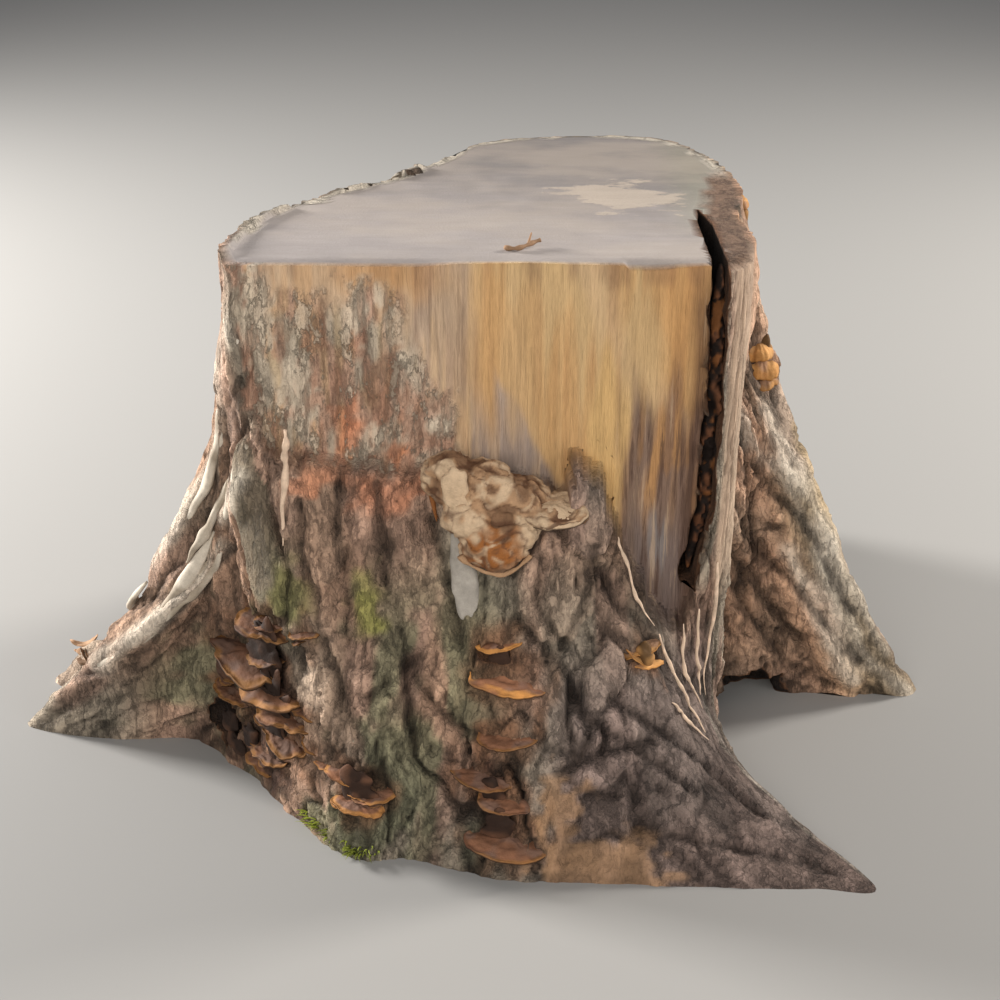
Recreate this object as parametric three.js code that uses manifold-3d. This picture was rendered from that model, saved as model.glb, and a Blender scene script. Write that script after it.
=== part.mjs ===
// Old tree stump with bracket fungi, in millimetres, +Z up.
// The origin lies on the ground under the middle of the trunk. The sawn front faces -Y,
// the long bark slab beside the crack stands at +X.
import * as THREE from "three";
import { mergeVertices } from "three/addons/utils/BufferGeometryUtils.js";
import Module from "manifold-3d";

const HEIGHT = 505;
const FACE_Y = -170;
const RIDGES = 42;
const COLUMNS_PER_RIDGE = 3;
const ROWS = 35;
const ROW_CROWDING = 1.3;
const GROOVE_DEPTH = 9;
const PLATE_LIFT = 7;
const OVERLENGTH = 12;
const GAP = 0.4;
const CUSHION_DEPTH = 13;
const SHELF_SIDES = 12;
const LUMP_SIDES = 11;
const LUMP_RINGS = 6;
const SEED = 20417;

const BARK = new THREE.MeshStandardMaterial({ color: 0x7a6a58, roughness: 0.95, metalness: 0 });
const BRACKET = new THREE.MeshStandardMaterial({ color: 0x8a5230, roughness: 0.85, metalness: 0 });
const CRUST = new THREE.MeshStandardMaterial({ color: 0xc39a66, roughness: 0.85, metalness: 0 });
const LITTER = new THREE.MeshStandardMaterial({ color: 0x9a7a55, roughness: 0.9, metalness: 0 });

// Outline of the trunk at stations counter-clockwise from the right:
// sawn rim x, y, ground x, y, and how late the flare of the roots begins.
const STATIONS = [
  [190, -45, 285, -48, 1.7],
  [199, 5, 408, -42, 1.6],
  [204, 60, 365, 65, 1.8],
  [190, 150, 275, 190, 1.8],
  [142, 235, 190, 385, 2.0],
  [30, 240, 40, 300, 2.0],
  [-40, 212, -110, 325, 2.0],
  [-85, 140, -285, 320, 2.2],
  [-130, 75, -275, 175, 2.2],
  [-180, 25, -335, 75, 2.2],
  [-220, -25, -478, -15, 2.2],
  [-238, -65, -425, -62, 2.2],
  [-249, -110, -492, -102, 2.1],
  [-252, -140, -415, -128, 2.1],
  [-252, -158, -328, -127, 2.1],
  [-246, -174, -258, -187, 2.0],
  [-200, -182, -203, -255, 2.0],
  [-130, -180, -150, -308, 2.0],
  [-60, -178, -100, -308, 2.0],
  [0, -178, -30, -335, 2.0],
  [60, -180, 70, -340, 2.0],
  [105, -184, 165, -345, 3.2],
  [140, -190, 250, -347, 8.0],
  [165, -186, 303, -337, 16.0],
  [188, -158, 178, -165, 16.0],
  [194, -95, 172, -95, 1.0],
];

// Front view of the wood laid bare by the saw, x and z.
const SAWN_FACE = [
  [-290, 530], [154, 530], [152, 195], [138, 168], [122, 172], [97, 232], [66, 308],
  [45, 332], [33, 300], [-40, 318], [-110, 322], [-190, 335], [-290, 372],
];

// Plan of the crack that parts the bark slab from the wood, x and y.
const CRACK = [[154, -260], [168, -260], [167, -60], [158, -20], [153.9, -60]];
const CRACK_BOTTOM = 205;

// Hollows: centre x, y, z and half sizes.
const HOLLOWS = [
  [236, -62, 0, 42, 40, 38],
  [-286, -152, 44, 30, 26, 17],
  [-26, -262, 176, 15, 26, 11],
];

// Bunches of bracket fungi. Shelves: station, height, radius, tilt in degrees.
// Cushions: station, height, half width, half height, that the shelves grow from.
const BUNCHES = {
  brackets_left: {
    shelves: [
      [15.2, 168, 30, 8], [15.0, 126, 47, 4], [15.45, 108, 40, -3],
      [15.7, 92, 34, 6], [15.75, 68, 30, 3], [15.4, 42, 27, -4],
    ],
    cushions: [[15.3, 140, 34, 40], [15.5, 88, 38, 44], [15.5, 56, 28, 32]],
  },
  brackets_left_low: {
    shelves: [[16.75, 64, 20, 10], [17.0, 44, 25, 5], [17.3, 52, 20, -6]],
    cushions: [[17.0, 54, 26, 24]],
  },
  brackets_front: {
    shelves: [[19.05, 153, 38, 4], [18.85, 182, 22, -8]],
    cushions: [[18.95, 162, 26, 30]],
  },
  brackets_front_low: {
    shelves: [[19.05, 107, 27, -2], [18.8, 74, 29, 8], [19.1, 57, 26, 2], [19.15, 26, 38, 5]],
    cushions: [[19.0, 82, 20, 36], [19.05, 44, 24, 34]],
  },
  bracket_curl: {
    shelves: [[20.67, 172, 18, -14], [20.75, 160, 15, 10]],
    cushions: [[20.7, 166, 12, 15]],
  },
  brackets_right: {
    shelves: [[1.1, 365, 24, 6], [1.2, 345, 27, 2], [1.05, 325, 20, -5]],
    cushions: [[1.12, 345, 17, 32]],
  },
  bracket_rim: {
    shelves: [[1.62, 492, 17, 4], [1.5, 476, 14, -4]],
    cushions: [[1.55, 480, 13, 18]],
  },
};

// Crust fungus on the ledge under the sawn face: centre x, y, z and half sizes of its lumps.
const CRUST_LUMPS = [
  [-62, -196, 322, 26, 24, 24], [-36, -200, 318, 28, 26, 22], [-8, -200, 306, 30, 28, 20],
  [22, -206, 296, 32, 26, 13], [-44, -212, 292, 26, 22, 20], [-28, -222, 268, 27, 20, 22],
  [-8, -218, 282, 22, 22, 16], [44, -204, 290, 20, 22, 14],
];

// Chip of bark on the left rear root.
const CHIP = { station: 10.15, height: 34, length: 46, width: 24, thickness: 15, bend: 0.004, turn: 0.5 };

const wasm = await Module();
wasm.setup();

let state = SEED;
function random() {
  state = (state * 1664525 + 1013904223) % 4294967296;
  return state / 4294967296;
}

function solid(geometry) {
  const bare = geometry.clone();
  bare.deleteAttribute("normal");
  bare.deleteAttribute("uv");
  const merged = mergeVertices(bare, 1e-4);
  return new wasm.Manifold(new wasm.Mesh({
    numProp: 3,
    vertProperties: new Float32Array(merged.attributes.position.array),
    triVerts: new Uint32Array(merged.index.array),
  }));
}

function largestBody(body) {
  return body.decompose().reduce((best, piece) => (piece.volume() > best.volume() ? piece : best));
}

function mesh(name, body, material) {
  const { vertProperties, triVerts } = largestBody(body).getMesh();
  const geometry = new THREE.BufferGeometry();
  geometry.setAttribute("position", new THREE.BufferAttribute(new Float32Array(vertProperties), 3));
  geometry.setIndex(new THREE.BufferAttribute(new Uint32Array(triVerts), 1));
  geometry.computeVertexNormals();
  const piece = new THREE.Mesh(geometry, material);
  piece.name = name;
  return piece;
}

// Trunk outline at any station and height.
function closedCurve(column) {
  const points = STATIONS.map((row) => new THREE.Vector3(row[column], row[column + 1], 0));
  return new THREE.CatmullRomCurve3(points, true, "catmullrom", 0.5);
}
const rim = closedCurve(0);
const foot = closedCurve(2);
const count = STATIONS.length;

function flareAt(turn) {
  const place = turn * count;
  const before = Math.floor(place) % count;
  const after = (before + 1) % count;
  return THREE.MathUtils.lerp(STATIONS[before][4], STATIONS[after][4], place - Math.floor(place));
}

function outline(turn, height) {
  const around = ((turn % 1) + 1) % 1;
  const level = THREE.MathUtils.clamp(height / HEIGHT, 0, 1);
  const spread = (1 - level) ** flareAt(around);
  return rim.getPoint(around).lerp(foot.getPoint(around), spread);
}

function outward(turn, height) {
  const step = 2e-4;
  const along = outline(turn + step, height).sub(outline(turn - step, height)).normalize();
  return new THREE.Vector3(along.y, -along.x, 0);
}

function barkPoint(station, height) {
  const point = outline(station / count, height);
  point.z = height;
  return point;
}

// Turns spaced evenly along the waist, half way between rim and ground.
const SAMPLES = 2000;
const waist = [0];
for (let i = 1; i <= SAMPLES; i += 1) {
  const here = rim.getPoint(i / SAMPLES).lerp(foot.getPoint(i / SAMPLES), 0.5);
  const last = rim.getPoint((i - 1) / SAMPLES).lerp(foot.getPoint((i - 1) / SAMPLES), 0.5);
  waist.push(waist[i - 1] + here.distanceTo(last));
}

function evenTurn(share) {
  const wrapped = ((share % 1) + 1) % 1;
  const goal = wrapped * waist[SAMPLES];
  const next = Math.max(1, waist.findIndex((length) => length > goal));
  const part = (goal - waist[next - 1]) / (waist[next] - waist[next - 1]);
  return (next - 1 + part) / SAMPLES;
}

// Bark plates: each ridge is broken across at its own heights, and each groove has its own depth.
const plates = [];
const grooves = [];
for (let ridge = 0; ridge < RIDGES; ridge += 1) {
  const lifts = [];
  const depths = [];
  let left = 0;
  let lift = 0;
  let depth = 0;
  for (let row = 0; row <= ROWS; row += 1) {
    if (left === 0) {
      left = 3 + Math.floor(random() * 6);
      lift = 0.35 + 0.65 * random();
      depth = 0.4 + 0.6 * random();
      lifts.push(-0.15);
    } else {
      lifts.push(lift);
    }
    depths.push(depth);
    left -= 1;
  }
  plates.push(lifts);
  grooves.push(depths);
}

function relief(column, row) {
  const ridge = Math.floor(column / COLUMNS_PER_RIDGE) % RIDGES;
  if (column % COLUMNS_PER_RIDGE === 0) {
    return -GROOVE_DEPTH * grooves[ridge][row];
  }
  const shoulder = column % COLUMNS_PER_RIDGE === 1 ? 1 : 0.7;
  return PLATE_LIFT * plates[ridge][row] * shoulder;
}

// Sideways wander of the ridges, in column widths.
function wander(share, level) {
  const turn = 2 * Math.PI;
  return 0.9 * Math.sin(turn * (1.3 * level + 3 * share))
    + 0.6 * Math.sin(turn * (2.9 * level - 7 * share))
    + 0.3 * Math.sin(turn * (5.3 * level + 17 * share));
}

function block(points, depth) {
  const shape = new THREE.Shape(points.map(([x, y]) => new THREE.Vector2(x, y)));
  return new THREE.ExtrudeGeometry(shape, { depth, bevelEnabled: false, curveSegments: 1 });
}

function ellipsoid(halfX, halfY, halfZ) {
  const ball = new THREE.SphereGeometry(1, LUMP_SIDES, LUMP_RINGS).rotateX(Math.PI / 2);
  return ball.scale(halfX, halfY, halfZ);
}

// The stump as it grew, with roots and bark, then sawn level, faced and cracked.
// A clearance above zero gives the same form swollen by that much.
function stump(clearance) {
  const columns = RIDGES * COLUMNS_PER_RIDGE;
  const geometry = new THREE.CylinderGeometry(1, 1, 1, columns, ROWS);
  const position = geometry.attributes.position;
  for (let i = 0; i < position.count; i += 1) {
    const across = position.getX(i);
    const ahead = position.getZ(i);
    const row = Math.round((position.getY(i) + 0.5) * ROWS);
    const level = (row / ROWS) ** ROW_CROWDING;
    const height = -OVERLENGTH + (HEIGHT + 2 * OVERLENGTH) * level;
    if (Math.hypot(across, ahead) < 0.5) {
      position.setXYZ(i, 0, 0, height);
      continue;
    }
    const angle = Math.atan2(across, ahead) / (2 * Math.PI);
    const column = (Math.round(angle * columns) + columns) % columns;
    const share = column / columns;
    const turn = evenTurn(share + wander(share, level) / columns);
    const point = outline(turn, height);
    point.addScaledVector(outward(turn, height), relief(column, row) + clearance);
    position.setXYZ(i, point.x, point.y, height);
  }
  const top = HEIGHT + clearance;
  const kept = new THREE.BoxGeometry(2000, 2000, top).translate(0, 0, top / 2);
  const faced = block(SAWN_FACE, 300).rotateX(Math.PI / 2).translate(0, FACE_Y - clearance, clearance);
  const crack = block(CRACK, HEIGHT).translate(0, 0, CRACK_BOTTOM);
  let body = solid(geometry).intersect(solid(kept)).subtract(solid(faced)).subtract(solid(crack));
  for (const [x, y, z, halfX, halfY, halfZ] of HOLLOWS) {
    const hollow = ellipsoid(halfX - clearance, halfY - clearance, halfZ - clearance);
    body = body.subtract(solid(hollow.translate(x, y, z)));
  }
  return largestBody(body);
}

// One bracket: a thin wavy shelf, thicker where it leaves the bark.
function shelf(radius) {
  const profile = [[0, -0.44], [0.6, -0.22], [1, -0.03], [0.9, 0.07], [0, 0.18]];
  const points = profile.map(([out, up]) => new THREE.Vector2(out * radius, up * radius));
  const geometry = new THREE.LatheGeometry(points, SHELF_SIDES).rotateX(Math.PI / 2);
  const position = geometry.attributes.position;
  const phase = random() * 6;
  const ripple = random() * 6;
  for (let i = 0; i < position.count; i += 1) {
    const x = position.getX(i);
    const y = position.getY(i);
    const angle = Math.atan2(y, x);
    const out = Math.hypot(x, y) / radius;
    const swell = 1 + 0.11 * Math.sin(3 * angle + phase) + 0.05 * Math.sin(7 * angle + ripple);
    const rise = 0.07 * radius * out * Math.sin(4 * angle + ripple);
    position.setXYZ(i, x * swell, y * swell, position.getZ(i) + rise);
  }
  return geometry;
}

// Places a piece on the bark with its -Y side facing out.
function onBark(geometry, station, height, sink) {
  const point = barkPoint(station, height);
  const normal = outward(station / count, height);
  const heading = Math.atan2(normal.y, normal.x) + Math.PI / 2;
  point.addScaledVector(normal, -sink);
  return geometry.rotateZ(heading).translate(point.x, point.y, point.z);
}

function bunch({ shelves, cushions }) {
  let body = null;
  for (const [station, height, halfWidth, halfHeight] of cushions) {
    const cushion = ellipsoid(halfWidth, CUSHION_DEPTH, halfHeight);
    const part = solid(onBark(cushion, station, height, 0));
    body = body ? body.add(part) : part;
  }
  for (const [station, height, radius, tilt] of shelves) {
    const tilted = shelf(radius).rotateY(THREE.MathUtils.degToRad(tilt));
    body = body.add(solid(onBark(tilted, station, height, radius * 0.15)));
  }
  return body;
}

const swollen = stump(GAP);
const group = new THREE.Group();
group.add(mesh("stump", stump(0), BARK));
for (const [name, plan] of Object.entries(BUNCHES)) {
  group.add(mesh(name, bunch(plan).subtract(swollen), BRACKET));
}

let crust = null;
for (const [x, y, z, halfX, halfY, halfZ] of CRUST_LUMPS) {
  const lump = ellipsoid(halfX, halfY, halfZ).rotateZ(random() - 0.5).translate(x, y, z);
  crust = crust ? crust.add(solid(lump)) : solid(lump);
}
group.add(mesh("crust_ledge", crust.subtract(swollen), CRUST));

// A broken twig on the sawn top.
const twigPath = new THREE.CatmullRomCurve3([
  new THREE.Vector3(-14, 2, 2.3), new THREE.Vector3(-4, -2, 2.3),
  new THREE.Vector3(6, 2, 3.2), new THREE.Vector3(15, 8, 5),
]);
const twigSection = new THREE.Shape();
twigSection.absarc(0, 0, 2, 0, 2 * Math.PI, false);
const twig = new THREE.ExtrudeGeometry(twigSection, {
  steps: 6, curveSegments: 4, bevelEnabled: false, extrudePath: twigPath,
});
group.add(mesh("twig_top", solid(twig.translate(-2, -140, HEIGHT + 0.15)), LITTER));

// A broken chip of bark lying on the left rear root.
const chip = new THREE.BoxGeometry(CHIP.length, CHIP.width, CHIP.thickness, 4, 1, 1);
const chipPosition = chip.attributes.position;
for (let i = 0; i < chipPosition.count; i += 1) {
  const bend = CHIP.bend * chipPosition.getX(i) ** 2;
  chipPosition.setZ(i, chipPosition.getZ(i) + bend);
}
const laidChip = onBark(chip.rotateY(CHIP.turn), CHIP.station, CHIP.height, 2);
group.add(mesh("bark_chip_left", solid(laidChip).subtract(swollen), LITTER));

export default group;
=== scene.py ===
"""Weathered tree stump: flaring roots, furrowed bark, a sawn top and front, and bracket fungi."""

import itertools
import math

import bmesh
import bpy
import numpy as np
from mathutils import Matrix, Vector


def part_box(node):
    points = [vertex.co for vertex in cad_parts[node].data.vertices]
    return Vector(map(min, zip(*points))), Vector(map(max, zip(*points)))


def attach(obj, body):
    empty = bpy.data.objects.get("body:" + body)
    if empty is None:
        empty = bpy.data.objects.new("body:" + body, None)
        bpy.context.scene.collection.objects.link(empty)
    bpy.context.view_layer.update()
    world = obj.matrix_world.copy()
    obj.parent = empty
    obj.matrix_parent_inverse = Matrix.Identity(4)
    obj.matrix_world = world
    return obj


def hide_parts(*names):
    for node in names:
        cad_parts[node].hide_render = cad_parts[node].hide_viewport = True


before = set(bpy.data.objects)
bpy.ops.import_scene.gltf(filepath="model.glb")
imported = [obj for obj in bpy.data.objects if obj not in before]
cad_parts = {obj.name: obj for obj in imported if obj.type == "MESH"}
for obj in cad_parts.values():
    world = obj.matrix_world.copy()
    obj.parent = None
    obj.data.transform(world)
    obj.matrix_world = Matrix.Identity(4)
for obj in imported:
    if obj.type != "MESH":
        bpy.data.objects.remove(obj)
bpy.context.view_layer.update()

bl_info = {
    "name": "Tree Stump",
    "version": (1, 0, 0),
    "blender": (4, 5, 0),
    "location": "View3D > Sidebar > Stump",
    "description": "Weathered tree stump with roots, a sawn front and bracket fungi",
    "category": "Add Mesh",
}

MM = 0.001

# Outline of the trunk at stations counter-clockwise from the right, in millimetres:
# sawn rim x, y, ground x, y, and how late the flare of the roots begins.
STATIONS = np.array((
    (190, -45, 285, -48, 1.7),
    (199, 5, 408, -42, 1.6),
    (204, 60, 365, 65, 1.8),
    (190, 150, 275, 190, 1.8),
    (142, 235, 190, 385, 2.0),
    (30, 240, 40, 300, 2.0),
    (-40, 212, -110, 325, 2.0),
    (-85, 140, -285, 320, 2.2),
    (-130, 75, -275, 175, 2.2),
    (-180, 25, -335, 75, 2.2),
    (-220, -25, -478, -15, 2.2),
    (-238, -65, -425, -62, 2.2),
    (-249, -110, -492, -102, 2.1),
    (-252, -140, -415, -128, 2.1),
    (-252, -150, -328, -127, 2.1),
    (-236, -176, -258, -187, 2.0),
    (-200, -182, -203, -255, 2.0),
    (-130, -180, -150, -308, 2.0),
    (-60, -178, -100, -308, 2.0),
    (0, -178, -30, -335, 2.0),
    (60, -180, 70, -340, 2.0),
    (105, -184, 165, -345, 3.2),
    (140, -190, 250, -347, 8.0),
    (165, -186, 303, -337, 16.0),
    (188, -158, 178, -165, 16.0),
    (194, -95, 172, -95, 1.0),
), float)
HEIGHT = 505.0
FACE_Y = -170.0

# Front view of the wood laid bare by the saw, x and z.
SAWN_FACE = np.array((
    (-243, 540), (161, 540), (158, 195), (140, 168), (122, 172), (97, 232), (66, 308),
    (45, 332), (33, 300), (-40, 318), (-110, 322), (-190, 330), (-222, 340), (-238, 388),
), float)

# Pale flakes and the knobs on the sawn face: centre x, z and half sizes.
PALE_FLAKES = (
    (-221, 468, 17, 48),
    (-139, 470, 13, 27),
    (-126, 346, 34, 14),
    (-192, 396, 15, 44),
)
KNOBS = (-80, 356, 27, 54)

# Plan of the crack that parts the bark slab from the wood, x and y.
CRACK = ((154, -260), (168, -260), (167, -60), (158, -20), (153.9, -60))
CRACK_BOTTOM = 205.0

# How far the foot of the crack leans to the left, and the height from which it is upright.
CRACK_LEAN = 13.0
CRACK_UPRIGHT = 300.0

# Stations between which the front is sawn.
SAWN_FROM = 13.5
SAWN_TO = 24.2

# Hollows: centre x, y, z and half sizes.
HOLLOWS = (
    (236, -62, 0, 42, 40, 38),
    (-284, -156, 40, 34, 26, 22),
    (-26, -262, 176, 15, 26, 11),
)

# Bunches of bracket fungi. Shelves: station, height, radius, tilt in degrees.
# Cushions: station, height, half width, half height.
BUNCHES = {
    "brackets_left": (
        ((15.2, 168, 30, 8), (14.9, 126, 49, 4), (15.45, 108, 40, -3),
         (15.7, 92, 34, 6), (15.75, 68, 30, 3), (15.4, 42, 27, -4),
         (14.6, 78, 24, 4), (16.1, 176, 17, -12), (14.5, 100, 20, 8), (15.2, 24, 20, 14)),
        ((15.3, 140, 34, 40), (15.5, 88, 38, 44), (15.5, 56, 28, 32),
         (14.6, 46, 20, 14), (14.75, 26, 20, 12), (15.0, 44, 16, 16)),
    ),
    "brackets_left_low": (
        ((16.75, 64, 20, 10), (17.0, 44, 25, 5), (17.3, 52, 20, -6)),
        ((17.0, 54, 26, 24),),
    ),
    "brackets_front": (
        ((19.05, 153, 38, 4), (18.85, 182, 22, -8)),
        ((18.9, 168, 18, 15),),
    ),
    "brackets_front_low": (
        ((19.05, 107, 27, -2), (18.8, 74, 29, 8), (19.1, 57, 26, 2), (19.15, 26, 38, 5)),
        ((18.95, 66, 16, 16), (19.05, 40, 22, 16)),
    ),
    "bracket_curl": (
        ((20.67, 172, 18, -14), (20.75, 160, 15, 10), (20.6, 165, 14, 38)),
        ((20.7, 166, 12, 15),),
    ),
    "brackets_right": (
        ((1.1, 355, 23, 8), (1.2, 341, 26, -7), (1.0, 329, 16, -5)),
        ((1.12, 345, 17, 30),),
    ),
    "bracket_rim": (
        ((1.62, 492, 17, 4), (1.5, 476, 14, -4)),
        ((1.55, 480, 13, 18),),
    ),
}
GOLDEN_BUNCHES = ("bracket_curl", "brackets_right", "bracket_rim")
DOMED_BUNCHES = ("brackets_right", "bracket_rim")
FRILLED_BUNCHES = ("brackets_left", "brackets_left_low")

# Tone of a bunch, how ripe its growing rims are and how ragged its brackets are.
BUNCH_LOOKS = {
    "brackets_front": (1.05, 1.0, 0.6),
    "brackets_front_low": (0.72, 0.25, 0.5),
    "brackets_left": (0.5, 0.65, 1.0),
    "brackets_left_low": (0.8, 0.7, 1.0),
}
PLAIN_LOOK = (1.0, 0.4, 1.0)

# Depth of a cushion in millimetres, depth of a bracket as a share of its width, how round a domed
# one is, and the columns and rows of points on brackets above and below a radius.
CUSHION_DEPTH = 13.0
SHELF_DEPTH = 0.68
DOME = 0.7
LARGE_RADIUS = 21
LARGE_GRID = (96, 34)
SMALL_GRID = (60, 24)

# Crust fungus on the ledge: centre x, y, z and half sizes of its lumps.
CRUST_LUMPS = (
    (-62, -196, 322, 26, 24, 24), (-36, -200, 318, 28, 26, 22), (-8, -200, 306, 30, 28, 20),
    (24, -210, 298, 34, 27, 8), (-44, -212, 292, 26, 22, 20), (-8, -218, 282, 22, 22, 16),
    (46, -204, 293, 20, 22, 9),
)
CRUST_BULGE = (-24, -222, 270, 31, 21, 22)

# Trim of the crust: the middle of the hanging plate, the root of the flap and the count of fibres.
# Its lumps are fused on a grid of voxels, in metres.
CRUST_PLATE = (-57, -220, 321)
CRUST_FLAP = (26, -213, 300)
CRUST_FIBRES = 8
CRUST_VOXEL = 0.0017

# Plates and bulges of the bark: station, height, half width, half height, lean in degrees,
# lift, how flat the plate is, and its colour.
BARK_PLATES = (
    (20.1, 159, 19, 29, -22, 7, 0.65, "plate"),
    (15.26, 262, 22, 90, 6, 6, 0.97, "slab"),
    (16.2, 285, 34, 62, 0, 6, 0.2, "bark_grey"),
    (19.5, 230, 34, 52, 0, 11, 0.3, "bark_brown"),
    (19.95, 302, 26, 46, -12, 13, 0.45, "bark_mauve"),
)

# Loose plates that stand proud of the bark: station, height, half width, half height, thickness,
# lean in degrees and colour.
LOOSE_PLATES = (
    (18.32, 239, 11, 42, 8, -10, "flake"),
)

# Long crevices of the bark, as stations and heights. Stations past the last run on round the trunk.
FURROWS = (
    ((16.67, 339), (16.6, 266), (16.66, 239)),
    ((17.08, 315), (17.19, 267), (17.25, 231)),
    ((17.83, 283), (18.2, 213), (18.4, 181)),
    ((19.08, 203), (19.44, 177)),
    ((17.76, 149), (18.21, 120), (18.67, 107)),
    ((16.44, 174), (16.68, 141), (16.53, 96)),
    ((17.09, 133), (17.82, 165)),
    ((19.59, 82), (20.03, 97), (20.67, 99)),
    ((19.85, 67), (20.18, 63)),
    ((19.11, 99), (19.22, 73)),
    ((18.52, 38), (18.82, 63), (18.83, 34)),
    ((19.74, 130), (20.49, 92), (21.17, 56)),
    ((20.14, 138), (21.05, 93), (22.22, 30)),
    ((20.37, 39), (21.43, 19), (22.43, 6)),
    ((19.32, 254), (19.28, 220), (19.58, 188)),
    ((19.99, 266), (19.86, 221), (19.58, 180)),
    ((15.12, 172), (14.82, 78)),
    ((16.13, 300), (16.17, 245), (16.38, 211)),
    ((25.5, 150), (26.02, 35), (26.28, 10)),
    ((25.0, 290), (26.27, 131), (26.59, 40)),
    ((25.2, 360), (26.62, 193), (26.74, 95)),
    ((25.3, 210), (25.96, 113), (26.18, 63)),
    ((14.48, 237), (13.21, 154), (12.73, 92)),
    ((13.49, 211), (12.76, 161)),
)

# Pale crests that run down to the roots, as stations and heights.
CRESTS = (
    ((26.5, 308), (26.79, 224), (26.8, 163)),
    ((25.3, 352), (26.53, 238), (26.69, 170), (26.62, 48), (26.86, 4)),
    ((26.29, 165), (26.39, 95), (26.48, 19)),
    ((26.68, 165), (26.92, 97), (26.89, 45)),
    ((15.06, 474), (13.6, 361), (12.45, 263), (12.0, 190)),
    ((14.19, 233), (13.29, 177), (12.72, 132), (12.35, 80)),
    ((15.06, 319), (14.11, 258)),
    ((13.72, 233), (12.99, 164), (12.7, 115)),
)

# Flat straps of pale bark on the left root, as stations and heights, with their half width.
STRAPS = (
    (((15.06, 440), (14.4, 392), (13.6, 340), (12.7, 270), (12.2, 205)), 6),
    (((14.19, 233), (13.29, 177), (12.72, 132), (12.35, 80)), 9),
    (((15.1, 345), (14.7, 300), (14.11, 250)), 8),
    (((13.72, 240), (12.99, 168), (12.7, 115)), 6),
    (((14.3, 300), (13.5, 246), (12.9, 205)), 5),
    (((12.1, 170), (11.6, 110), (11.4, 60)), 7),
)

# Thin peeling edges of bark: stations and heights, and half the thickness.
PEELINGS = (
    (((20.33, 273), (20.46, 255), (20.63, 218), (20.95, 192)), 1.5),
    (((21.06, 181), (21.35, 143), (21.71, 111), (21.93, 85)), 1.5),
    (((22.0, 178), (21.89, 133), (22.56, 92)), 1.5),
    (((22.75, 191), (22.69, 134), (22.7, 104)), 1.5),
    (((23.32, 232), (23.29, 170), (22.95, 101)), 1.7),
    (((21.08, 126), (21.48, 102), (21.96, 78)), 1.5),
    (((16.0, 366), (15.92, 326), (15.8, 258)), 3.2),
)

# Shade painted on the bark among and under the brackets: station, height, half width and half height.
SHADOW_PATCHES = (
    (14.95, 34, 58, 46),
    (15.3, 112, 36, 48),
    (15.7, 22, 26, 20),
    (18.95, 70, 13, 30),
    (19.0, 42, 20, 14),
    (18.85, 172, 16, 8),
)

# Films of moss on the bark: station, height, half width, half height, seed, share of the colour,
# and the distances between which the film ends.
MOSS_FILMS = (
    (17.0, 208, 17, 38, 83, 0.9, 0.45, 1.15),
    (15.9, 206, 20, 36, 87, 0.45, 0.4, 1.2),
)

# Tan rotted patches near the ground: station, height, half width and half height.
BARE_PATCHES = (
    (19.95, 12, 56, 38),
    (19.62, 48, 27, 46),
)

# Moss tufts at the ground: station, height and spread, and the count of blades in each.
MOSS_TUFTS = (
    (16.35, 5, 11),
    (17.15, 2, 13),
)
BLADES = 40

# Flakes in the loose chip of bark.
CHIPS = 7

# Soft lights: name, place, size in metres, power in watts and colour.
LAMPS = (
    ("key", (-0.7, -2.7, 1.5), 2.2, 56.0, (1.0, 0.96, 0.9)),
    ("fill", (2.0, -1.8, 1.0), 1.8, 25.0, (1.0, 0.97, 0.94)),
    ("left_rim", (-2.8, 1.12, 1.05), 0.6, 245.0, (1.0, 0.98, 0.95)),
    ("right_rim", (2.6, 1.15, 1.6), 0.6, 122.0, (1.0, 0.96, 0.9)),
)

# Points that the lights and the camera face, width of the sensor in millimetres, colour and
# strength of the sky, and radius of the floor in metres.
LAMP_AIM = (0.0, 0.0, 0.25)
CAMERA_AIM = (-0.02, 0.0, 0.2)
SENSOR = 36.0
SKY = (0.93, 0.95, 1.0, 1.0)
SKY_STRENGTH = 0.34
FLOOR_RADIUS = 14.0


def colour(name, description, red, green, blue):
    """A colour property, given as screen values from 0 to 255."""
    return bpy.props.FloatVectorProperty(
        name=name,
        description=description,
        subtype="COLOR_GAMMA",
        size=3,
        min=0.0,
        max=1.0,
        default=(red / 255, green / 255, blue / 255),
    )


class StumpSizes(bpy.types.PropertyGroup):
    """Depths of the relief that the bark and the wood carry."""

    furrow: bpy.props.FloatProperty(
        name="Furrow", description="Depth of the furrows between bark ridges",
        default=0.009, min=0.0, unit="LENGTH")
    scale: bpy.props.FloatProperty(
        name="Scale", description="Depth of the cracks between bark scales",
        default=0.0034, min=0.0, unit="LENGTH")
    lump: bpy.props.FloatProperty(
        name="Lump", description="Height of the broad swellings of the bark",
        default=0.007, min=0.0, unit="LENGTH")
    flake: bpy.props.FloatProperty(
        name="Flake", description="Thickness of the inner bark left on the sawn face",
        default=0.0042, min=0.0, unit="LENGTH")


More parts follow.
